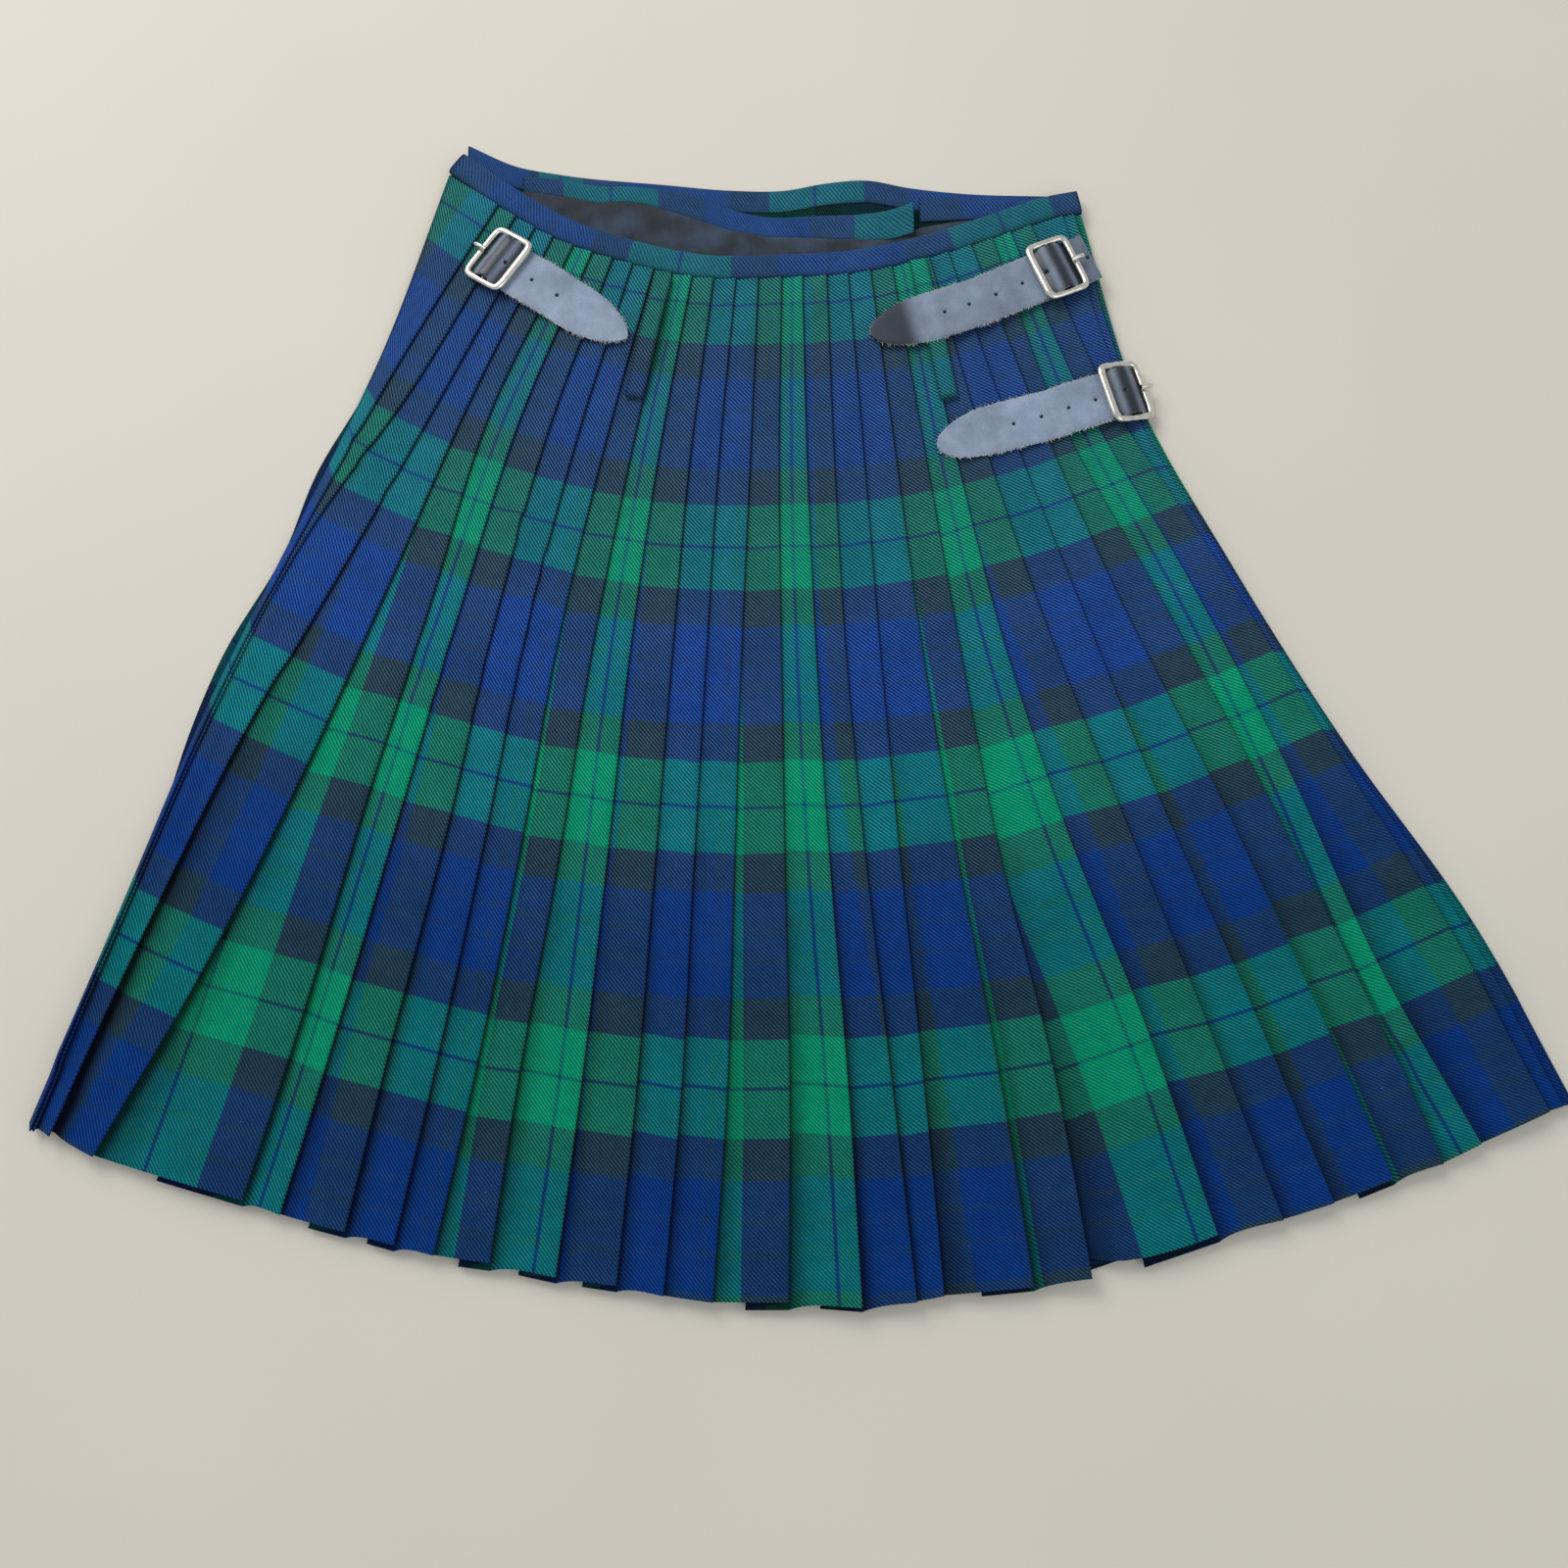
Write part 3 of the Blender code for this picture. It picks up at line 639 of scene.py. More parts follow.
@dataclass(frozen=True)
class LeatherFinish:
    """Strap leather worn to a grey nap, still black and glossy where the frame covers it."""

    worn: Colour = linear(142, 157, 178)
    scuffed: Colour = linear(127, 143, 164)
    glossy: Colour = linear(34, 42, 54)
    pale: Colour = linear(206, 208, 210)
    # Near black: painted shade inside the punched holes, and the dark one of the two fray colours.
    hole: Colour = linear(14, 17, 24)
    grain: float = 1.1
    scuff_grain: float = 9.0
    fray_grain: float = 0.8
    pore_grain: float = 0.5
    mottle_grain: float = 24.0

    def build(self) -> bpy.types.Material:
        """The finished material: grain in three sizes, with gloss, edges and holes painted on its points."""
        nodes = Nodes("worn strap leather")
        place = nodes.place()
        gloss = nodes.painted(Paint.GLOSS)
        grain = nodes.noise(place, self.grain, 4.0)
        scuff = nodes.noise(place, self.scuff_grain, 4.0).step(0.35, 0.75)
        fray = (nodes.painted(Paint.EDGE) + (grain - 0.5) * 1.4).step(0.55, 0.9) * (1 - gloss) * 0.8
        rough = nodes.noise(place, self.fray_grain, 2.0).step(0.45, 0.55)
        pores = nodes.noise(place, self.pore_grain, 2.0)
        colour = nodes.mix(scuff, self.scuffed, self.worn)
        colour = nodes.mix(gloss, colour, self.glossy)
        colour = nodes.mix(fray, colour, nodes.mix(rough, self.hole, self.pale))
        # Punched holes are painted near black, a painted shade inside their pits.
        colour = nodes.mix(nodes.painted(Paint.HOLE), colour, self.hole)
        tone = grain * 0.4 + nodes.noise(place, self.mottle_grain, 2.0) * 0.7 + 0.45
        nodes.shade(
            Base_Color=nodes.lit(colour, tone),
            Roughness=0.62 - gloss * 0.3,
            Normal=nodes.bump((grain * 0.7 + pores * 0.3) * (1 - gloss * 0.9), 0.25, 0.5),
            Specular_IOR_Level=0.45,
        )
        return nodes.material


@dataclass(frozen=True)
class MetalFinish:
    """Polished nickel plate with a warm cast and small rubs."""

    bright: Colour = linear(240, 237, 226)
    rubbed: Colour = linear(214, 209, 194)

    def build(self) -> bpy.types.Material:
        """The finished material: rubs change its colour and its gloss together."""
        nodes = Nodes("polished nickel")
        place = nodes.place()
        rub = nodes.noise(place, 3.0, 4.0).step(0.4, 0.75)
        fine = nodes.noise(place, 0.4, 2.0)
        nodes.shade(
            Base_Color=nodes.mix(rub, self.bright, self.rubbed),
            Metallic=1.0,
            Roughness=rub * 0.06 + 0.2,
            Normal=nodes.bump(fine, 0.02, 0.2),
        )
        return nodes.material


@dataclass(frozen=True)
class ThreadFinish:
    """Sewing thread and loose fibres of one colour."""

    name: str
    colour: Colour
    roughness: float = 0.8

    def build(self) -> bpy.types.Material:
        """The finished material: the thread's own twist shows as fine light and dark."""
        nodes = Nodes(self.name)
        twist = nodes.noise(nodes.place(), 0.35, 1.0)
        darker = tuple(0.6 * c for c in self.colour)
        nodes.shade(Base_Color=nodes.mix(twist, darker, self.colour), Roughness=self.roughness)
        return nodes.material


def smooth(at: Array, knots: Sequence[float], values: Sequence[float]) -> Array:
    """Cubic curve through the knots, read at the given places.

    Args:
        at: Places to read.
        knots: Places of the knots, rising.
        values: Values at the knots.

    Returns:
        The curve's values, with central differences as slopes at the knots.
    """
    knots = np.asarray(knots, float)
    values = np.asarray(values, float)
    slopes = np.gradient(values, knots)
    index = np.clip(np.searchsorted(knots, at) - 1, 0, len(knots) - 2)
    span = knots[index + 1] - knots[index]
    share = (at - knots[index]) / span
    start = values[index] * (1 + 2 * share) + slopes[index] * span * share
    end = values[index + 1] * (3 - 2 * share) - slopes[index + 1] * span * (1 - share)
    return start * (1 - share) ** 2 + end * share**2


def ease(value: Array, low: float, high: float) -> Array:
    """0 below low, 1 above high and a smooth cubic between them."""
    share = np.clip((np.asarray(value, float) - low) / (high - low), 0, 1)
    return share * share * (3 - 2 * share)


def unit(vectors: Array) -> Array:
    """Vectors brought to length 1 along their last axis."""
    return vectors / np.maximum(np.linalg.norm(vectors, axis=-1, keepdims=True), 1e-9)


def ripple(place: Array, seed: int, waves: int = 5, shortest: float = 1.0) -> Array:
    """Uneven line from -1 to 1: a sum of sines whose lengths and starts come from a seeded draw.

    Args:
        place: Where to read it.
        seed: Start of the draw.
        waves: How many sines are summed.
        shortest: Length of the shortest sine.

    Returns:
        The line's values.
    """
    draw = np.random.default_rng(seed)
    lengths = shortest * 1.7 ** np.arange(waves)
    starts = draw.uniform(0, 2 * math.pi, waves)
    total = sum(np.sin(2 * math.pi * place / length + start) for length, start in zip(lengths, starts))
    return total / waves


class KiltForm:
    """The kilt's plan and heights, which its solids have too but for a few folds that are moved here."""

    def __init__(self) -> None:
        """Find the kilt's own origin in the frame from the side band's and over apron's boxes."""
        low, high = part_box("waistband_side")
        middle = (SIDE_BAND[0].x + SIDE_BAND[-1].x) / 2
        self.centre_x = middle - (low.x + high.x) / 2 / MM
        self.centre_y = OVER_BAND[0].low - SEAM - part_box("over_apron")[1].y / MM

    def to_frame(self, points: Array) -> Array:
        """Places in millimetres of the kilt as metres of the frame."""
        return (np.asarray(points, float) - (self.centre_x, self.centre_y, 0.0)) * MM

    def waist_height(self, x: Array) -> Array:
        """Y of the back waistband's lower edge at x."""
        return smooth(np.asarray(x, float), [s.x for s in WAIST_LINE], [s.y for s in WAIST_LINE])

    def course(self, fold: Fold, rows: int) -> Array:
        """Places of a fold edge, each row its own distance further down the cloth.

        The drop of each step is what the step's length leaves beside its move in x.

        Args:
            fold: The fold.
            rows: How many places.

        Returns:
            The places, from the waistband to the hem.
        """
        down = np.linspace(0.0, fold.length, rows)
        x = smooth(down, LEVELS, fold[: len(LEVELS)])
        drop = np.sqrt(np.diff(down) ** 2 - np.diff(x) ** 2)
        y = self.waist_height(x[0]) - np.concatenate([[0.0], np.cumsum(drop)])
        return np.column_stack([x, y])

    def courses(self, rows: int) -> Array:
        """All fold edges and both sides, left to right."""
        return np.stack([self.course(fold, rows) for fold in (LEFT_SIDE, *FOLDS, RIGHT_SIDE)])

    @staticmethod
    def underside(down: Array) -> Array:
        """Height of the pleats' underside, over the lining at the waist and the apron below it."""
        return SKIRT_LAYER + (WAIST_LAYER - SKIRT_LAYER) * (1 - ease(down, 0.0, STITCHED_TO))

    def top(self, down: Array) -> Array:
        """Height of the fold edges."""
        return self.underside(down) + STACK

    def finish_piece(
        self, name: str, mesh: bpy.types.Mesh, material: bpy.types.Material, slot: Slot, nodes: Sequence[str]
    ) -> bpy.types.Object:
        """Link a mesh as a piece that stands for the given nodes.

        Args:
            name: The piece's name.
            mesh: Its mesh, in place.
            material: Its finish.
            slot: The record's slot for it, which is not used.
            nodes: The nodes that it replaces.

        Returns:
            The piece.
        """
        piece = bpy.data.objects.new(name, mesh)
        bpy.context.scene.collection.objects.link(piece)
        mesh.materials.append(material)
        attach(piece, BODY)
        if nodes:
            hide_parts(*nodes)
        LOG.info("%s: %d faces", name, len(mesh.polygons))
        return piece

    def grid_wall(
        self, name: str, upper: Array, lower: Array, cloth: Array, paints: Mapping[Paint, Array] | None = None
    ) -> bpy.types.Mesh:
        """Closed wall between two grids of places with matching rows and columns.

        Args:
            name: The mesh's name.
            upper: Grid of the upper side, in millimetres.
            lower: Grid of the lower side.
            cloth: UV of each grid place, in millimetres.
            paints: Values from 0 to 1 at each grid place, by kind.

        Returns:
            The mesh, with its UV map, shaded smooth.
        """
        rows, columns = upper.shape[:2]
        grid = np.arange(rows * columns).reshape(rows, columns)
        below = grid + rows * columns

        def quads(a: Array, b: Array, c: Array, d: Array) -> Array:
            """Quads from four arrays of corners."""
            return np.stack([a.ravel(), b.ravel(), c.ravel(), d.ravel()], axis=1)

        def strip(near: Array, far: Array) -> Array:
            """Quads between two lines of points."""
            return quads(near[:-1], near[1:], far[1:], far[:-1])

        faces = np.concatenate([
            quads(grid[:-1, :-1], grid[1:, :-1], grid[1:, 1:], grid[:-1, 1:]),
            quads(below[:-1, :-1], below[:-1, 1:], below[1:, 1:], below[1:, :-1]),
            strip(grid[0], below[0]), strip(below[-1], grid[-1]),
            strip(below[:, 0], grid[:, 0]), strip(grid[:, -1], below[:, -1]),
        ])
        places = self.to_frame(np.concatenate([upper.reshape(-1, 3), lower.reshape(-1, 3)]))
        mesh = mesh_of(name, places, faces)
        layer = mesh.uv_layers.new(name=CLOTH_UV)
        both = np.tile(cloth.reshape(-1, 2) * MM, (2, 1))
        corners = np.empty(len(mesh.loops), np.int32)
        mesh.loops.foreach_get("vertex_index", corners)
        layer.uv.foreach_set("vector", both[corners].ravel())
        for kind, values in (paints or {}).items():
            held = mesh.attributes.new(kind.value, "FLOAT", "POINT")
            held.data.foreach_set("value", np.tile(values.ravel(), 2).astype(np.float32))
        return mesh


def mesh_of(name: str, places: Array, faces: Array) -> bpy.types.Mesh:
    """Mesh of quads with its normals turned outwards and its sides smooth.

    Args:
        name: The mesh's name.
        places: Its points, in metres of the frame.
        faces: Four point numbers a row.

    Returns:
        The mesh.
    """
    mesh = bpy.data.meshes.new(name)
    mesh.vertices.add(len(places))
    mesh.vertices.foreach_set("co", np.asarray(places, np.float32).ravel())
    mesh.loops.add(faces.size)
    mesh.loops.foreach_set("vertex_index", faces.astype(np.int32).ravel())
    mesh.polygons.add(len(faces))
    mesh.polygons.foreach_set("loop_start", np.arange(0, faces.size, 4, dtype=np.int32))
    mesh.update(calc_edges=True)
    shape = bmesh.new()
    shape.from_mesh(mesh)
    bmesh.ops.recalc_face_normals(shape, faces=shape.faces)
    shape.to_mesh(mesh)
    shape.free()
    mesh.shade_smooth()
    mesh.set_sharp_from_angle(angle=math.radians(60))
    return mesh


def offset(grid: Array, distance: float) -> Array:
    """Grid moved along its own normals, which are the cross of its two directions.

    Args:
        grid: Places in rows down and columns to the right.
        distance: How far, positive upwards.

    Returns:
        The moved grid.
    """
    down = np.gradient(grid, axis=0)
    right = np.gradient(grid, axis=1)
    return grid + unit(np.cross(down, right)) * distance


def paired(first: Array, second: Array) -> Array:
    """Grid of pairs of values, where a single row or column is repeated over the grid."""
    return np.stack(np.broadcast_arrays(first, second), axis=2)


def distances(line: Array) -> Array:
    """Distance of each place of a line from its start, along the line."""
    return np.concatenate([[0.0], np.cumsum(np.linalg.norm(np.diff(line, axis=0), axis=1))])


@dataclass
class Columns:
    """Columns of one cloth, gathered from left to right: places, cloth coordinates and shades."""

    places: list[Array] = field(default_factory=list)
    cloth: list[Array] = field(default_factory=list)
    shades: list[Array] = field(default_factory=list)

    def add(self, plan: Array, height: Array, u: Array, v: Array, shade: Array | float = 0.0) -> None:
        """Add one column."""
        self.places.append(np.column_stack([plan, height]))
        self.cloth.append(np.column_stack([u, v]))
        self.shades.append(np.zeros(len(plan)) + shade)

    def grids(self) -> tuple[Array, Array, Array]:
        """The gathered columns as three grids."""
        places, cloth, shades = (np.stack(held, axis=1) for held in (self.places, self.cloth, self.shades))
        return places, cloth, shades


@dataclass
class PleatedBack:
    """The knife-pleated back: one cloth that runs through every face, fold and underfold."""

    form: KiltForm
    rows: int = 94
    cloth: float = 0.8
    gap: float = 0.3
    hidden_share: float = 0.6
    side_hidden_share: float = 0.35
    face_steps: tuple[float, ...] = (0.0, 0.04, 0.09, 0.16, 0.28, 0.42, 0.56, 0.7, 0.85, 1.0)
    nose_angles: tuple[float, ...] = (70.0, 35.0, 0.0, -35.0, -70.0)
    nose_cloth: float = 0.6
    nose_bend: float = 0.5
    under_steps: int = 2
    under_scale: float = 1.7
    under_from: float = 0.9
    sewn_to: float = 185.0
    start_spread: float = 15.0
    start_step: float = 2.1
    open_rise: float = 1.7
    open_past: float = 60.0
    narrow: tuple[float, float] = (4.0, 10.0)
    # Strength of the wider painted shade on the left of faces whose pleats open wide.
    deep_fold_shades: Mapping[int, float] = field(default_factory=lambda: {
        2: 0.4, 3: 0.85, 15: 0.65, 16: 0.65, 18: 0.6, 19: 0.7,
    })
    arch: float = 0.8
    arch_width: float = 20.0
    arch_from: float = -30.0
    arch_full: float = 150.0
    groove: float = 1.1
    groove_shade: float = 0.7
    fold_shade: float = 0.5
    fold_shade_to: float = 0.38
    hidden_shade: float = 0.75
    openings: Mapping[int, Opening] = field(default_factory=lambda: {
        2: Opening(4.5, 130), 3: Opening(4.5, 130), 4: Opening(2.6, 200), 6: Opening(2.6, 200),
        9: Opening(2.6, 260), 15: Opening(4.0, 240), 16: Opening(3.0, 230), 18: Opening(2.4, 300),
        19: Opening(5.0, 300), 20: Opening(2.4, 300),
    })
    nudge_levels: tuple[float, ...] = (172.0, 323.0, 480.0)
    nudges: Mapping[int, tuple[float, ...]] = field(default_factory=lambda: {
        0: (72, 63, 63), 1: (0, -25, -25), 3: (-8, -12, -16), 4: (-2, -3, 0), 6: (1, 2, 3.5), 9: (-5, -7, -6),
        11: (2, 3, 8), 14: (0, -2.5, 0), 16: (-4, -10, -19), 18: (-4, -10, -6), 19: (-4, -6.5, 0),
        21: (2, 0, 3.5), 23: (-6, -12, -12), 26: (-3, 0, 2), 29: (-28, 12, 12),
    })
    right_edge: tuple[float, ...] = (12.0, 151.0, 127.0, 94.0, 55.0)
    edge_shift: tuple[float, ...] = (-6.0, -3.0, -1.0, 0.0, 0.0, 0.0)
    creases: tuple[Crease, ...] = (
        Crease(-292, 100, -389, -153, 5, 3.0),
        Crease(-290, 60, -366, -165, 10, 3.5),
        Crease(-155, 156, -136, 126, 4, 4.2),
        Crease(-146, 118, -140, 95, 5, 2.4),
        Crease(-205, 76, -133, 64, 7, 1.6),
        Crease(-207, 46, -135, 34, 7, 1.6),
        Crease(-253, 206, -228, 168, 5, 2.4),
        Crease(309, -41, 330, -57, 5, 3.4),
        Crease(333, -144, 333, -163, 4.5, 3.0),
        Crease(390, -120, 330, -30, 10, 1.5),
    )

    def relief(self, plan: Array) -> Array:
        """Height that the creases add at places of the plan.

        Each crease is a bell curve across its line and fades as a bell curve past both ends.

        Args:
            plan: The places.

        Returns:
            The height at each place.
        """
        total = np.zeros(plan.shape[:-1])
        for crease in self.creases:
            start = np.array([crease.x, crease.y])
            run = np.array([crease.to_x, crease.to_y]) - start
            length = np.linalg.norm(run)
            along = (plan - start) @ run / length
            across = (plan - start) @ np.array([-run[1], run[0]]) / length
            past = np.maximum(np.maximum(-along, along - length), 0)
            total += crease.height * np.exp(-(across**2 + past**2) / crease.width**2)
        return total

    def check(self, index: int, down: Array) -> Array:
        """Where the checks have a face's fold edge: its even place, and how far it lies off that."""
        off = np.interp(down, self.nudge_levels, self.nudges.get(index, (0.0, 0.0, 0.0)))
        return self.right_edge[index % len(self.right_edge)] + off

    def rise(self, index: int, down: Array) -> Array:
        """How far a face stands up at its left, from where its pleat opens to past the hem."""
        uneven = self.sewn_to + self.start_spread * math.sin(index * self.start_step)
        opening = self.openings.get(index, Opening(self.open_rise, uneven))
        return opening.rise * ease(down, opening.start, LEVELS[-1] + self.open_past)

    def pleat(self, index: int, courses: Array, down: Array, shift: Array, columns: Columns) -> Array:
        """Add the face side of one pleat, from its hidden start to its hidden crease.

        A face climbs two pitches from the fold on its left to its own edge, turns under in a half
        round, and runs back below itself to the hidden share of its width. Its shade is a dark
        groove beside the fold on the left, and a wider soft one where pleats open.

        Args:
            index: The pleat's number.
            courses: Plans of the fold edge on its left and of its own.
            down: Distance of each row below the waistband.
            shift: Shift of the hidden start, from the pleat before.
            columns: The cloth that it is added to.

        Returns:
            The shift for the next pleat.
        """
        left, edge = courses
        top = self.form.top(down)
        back = left - edge
        width = np.linalg.norm(back, axis=1)
        back = back / width[:, None]
        pitch = self.cloth + self.gap
        radius = pitch / 2 + self.cloth / 2
        first = index == 0
        climb = top - self.form.underside(down) - self.cloth if first else np.full(len(down), 2 * pitch)
        slope = climb / width
        hidden = width * (self.side_hidden_share if first else self.hidden_share)
        rise = self.rise(index, down)
        arched = ease(down, self.sewn_to + self.arch_from, self.sewn_to + self.arch_full)
        arch = self.arch * arched * width / self.arch_width
        base = self.check(index, down) + smooth(down, LEVELS, self.edge_shift)
        share = down / LEVELS[-1]
        v = share * FOLDS[index].length - FIRST_GREEN
        dark = self.groove_shade * ease(width, *self.narrow)
        # Strength of the wider painted shade where the pleat opens.
        open_shade = self.deep_fold_shades.get(index, self.fold_shade) * ease(down, self.sewn_to, LEVELS[-1])

        for step in self.face_steps:
            away = (width - radius) * (1 - step) + radius
            t = 1 - away / width
            height = top - slope * away + rise * t**2 + arch * 4 * t * (1 - t)
            groove = dark * np.exp(-((t * width / self.groove) ** 2))
            wide = open_shade * (1 - ease(t, 0.0, self.fold_shade_to))
            plan = edge + back * away[:, None] + shift * (1 - step) ** 4
            columns.add(plan, height, base - away, v, np.maximum(groove, wide))
        middle = top - slope * radius + rise - radius
        for angle in np.radians(self.nose_angles):
            plan = edge + back * radius * (1 - math.cos(angle))
            u = base + self.nose_cloth - angle * self.nose_bend
            columns.add(plan, middle + radius * math.sin(angle), u, v)
        run = unit(np.gradient(edge, axis=0)) * FOLDS[index].under * self.under_scale
        deep_shift = run * ease(share, self.under_from, 1.0)[:, None]
        for step in np.linspace(0.0, 1.0, self.under_steps + 1):
            away = radius + (hidden - 2 * radius) * step
            height = top - slope * away + rise * (1 - step) ** 2 - 2 * radius
            plan = edge + back * away[:, None] + deep_shift * step
            columns.add(plan, height, base + away, v, self.hidden_shade)
        return deep_shift

    def side_roll(self, courses: Array, down: Array, shift: Array, columns: Columns) -> None:
        """Add the last face, which rolls down over the right side on a quarter wave.

        Args:
            courses: Plans of the last fold edge and of the right side.
            down: Distance of each row below the waistband.
            shift: Shift of the hidden start, from the last pleat.
            columns: The cloth that it is added to.
        """
        left, edge = courses
        top = self.form.top(down) - 2 * (self.cloth + self.gap)
        low = self.form.underside(down) + self.cloth
        width = np.linalg.norm(edge - left, axis=1)
        base = self.check(len(FOLDS), down)
        for share in (0.0, 0.5, 1.0):
            turn = share * math.pi / 2
            plan = left + (edge - left) * math.sin(turn) + shift * (1 - share)
            height = low + (top - low) * math.cos(turn)
            shade = self.groove_shade * (1 - share) ** 2
            columns.add(plan, height, base - width * (1 - share), down - FIRST_GREEN, shade)

    def build(self, material: bpy.types.Material) -> None:
        """Make the piece, with its creases.

        Args:
            material: The tartan.
        """
        courses = self.form.courses(self.rows)
        down = np.linspace(0.0, LEVELS[-1], self.rows)
        columns = Columns()
        shift = np.zeros((self.rows, 2))
        for index in range(len(FOLDS)):
            shift = self.pleat(index, courses[index : index + 2], down, shift, columns)
        self.side_roll(courses[-2:], down, shift, columns)
        upper, cloth, shade = columns.grids()
        upper[..., 2] += self.relief(upper[..., :2])
        lower = offset(upper, -self.cloth)
        mesh = self.form.grid_wall("pleated_back_cloth", upper, lower, cloth, {Paint.SHADE: shade})
        piece = self.form.finish_piece("pleated_back_cloth", mesh, material, Slot.TARTAN, ["pleated_back"])


@dataclass
class Aprons:
    """The two flat front panels that lie under the pleats."""

    form: KiltForm
    rows: int = 60
    inset: float = 1.5
    hem_inset: float = 3.0
    hem_from: float = 480.0
    puckers: tuple[Pucker, ...] = (Pucker(200.0, 6.5), Pucker(310.0, 6.5), Pucker(365.0, 4.5))
    pucker_reach: float = 42.0
    top_fade: int = 6
    fullness: float = 1.6
    # Painted shade over the aprons, which lie under the pleats, deeper near the waistband.
    shade: float = 0.55
    top_shade: float = 0.85
    top_reach: float = 60.0
    tuck: float = 0.2
    under_inset: float = 6.0
    under_columns: int = 22

    def panel(self, name: str, courses: Array, layer: float, tops: Array) -> bpy.types.Mesh:
        """Flat panel whose columns are fold courses, drawn out to a top edge.

        Args:
            name: The mesh's name.
            courses: Plans of its columns.
            layer: Height of its underside.
            tops: Y of each column's top.

        Returns:
            The mesh, with painted shade all over that deepens under the waistband.
        """
        columns, rows = courses.shape[:2]
        plan = courses.transpose(1, 0, 2).copy()
        share = np.linspace(0.0, 1.0, rows)[:, None]
        plan[..., 1] += (tops - plan[0, :, 1])[None, :] * (1 - share) ** self.top_fade
        down = np.linspace(0.0, LEVELS[-1], rows)[:, None]
        height = np.full((rows, columns, 1), layer + APRON_CLOTH)
        upper = np.concatenate([plan, height], axis=2)
        marks = paired(plan[:1, :, 0] * self.fullness, down)
        shade = self.shade + (self.top_shade - self.shade) * ease(down, self.top_reach, 0.0)
        shade = np.tile(shade, (1, columns))
        return self.form.grid_wall(name, upper, upper - UP * APRON_CLOTH, marks, {Paint.SHADE: shade})

    def build(self, material: bpy.types.Material) -> None:
        """The over apron's left side bulges in puckers, each a bell curve down it.

        Args:
            material: The tartan.
        """
        courses = self.form.courses(self.rows)
        down = np.linspace(0.0, LEVELS[-1], self.rows)
        hem = self.hem_inset * ease(down, self.hem_from, LEVELS[-1])
        over = courses.copy()
        over[..., 1] += hem
        over[0, :, 0] += self.inset
        for pucker in self.puckers:
            over[0, :, 0] -= pucker.bulge * np.exp(-(((down - pucker.down) / self.pucker_reach) ** 2))
        over[-1, :, 0] -= self.inset
        tops = np.interp(over[:, 0, 0], [b.x for b in OVER_BAND], [b.low + self.tuck for b in OVER_BAND])
        mesh = self.panel("over_apron_cloth", over, OVER_LAYER, tops)
        piece = self.form.finish_piece("over_apron_cloth", mesh, material, Slot.TARTAN, ["over_apron"])

        under = courses[: self.under_columns].copy()
        under[..., 1] += hem * 2
        under[0, :, 0] += self.under_inset
        tops = np.interp(under[:, 0, 0], [b.x for b in UNDER_BAND], [b.low - SEAM for b in UNDER_BAND])
        mesh = self.panel("under_apron_cloth", under, UNDER_LAYER, tops)
        piece = self.form.finish_piece("under_apron_cloth", mesh, material, Slot.TARTAN, ["under_apron"])


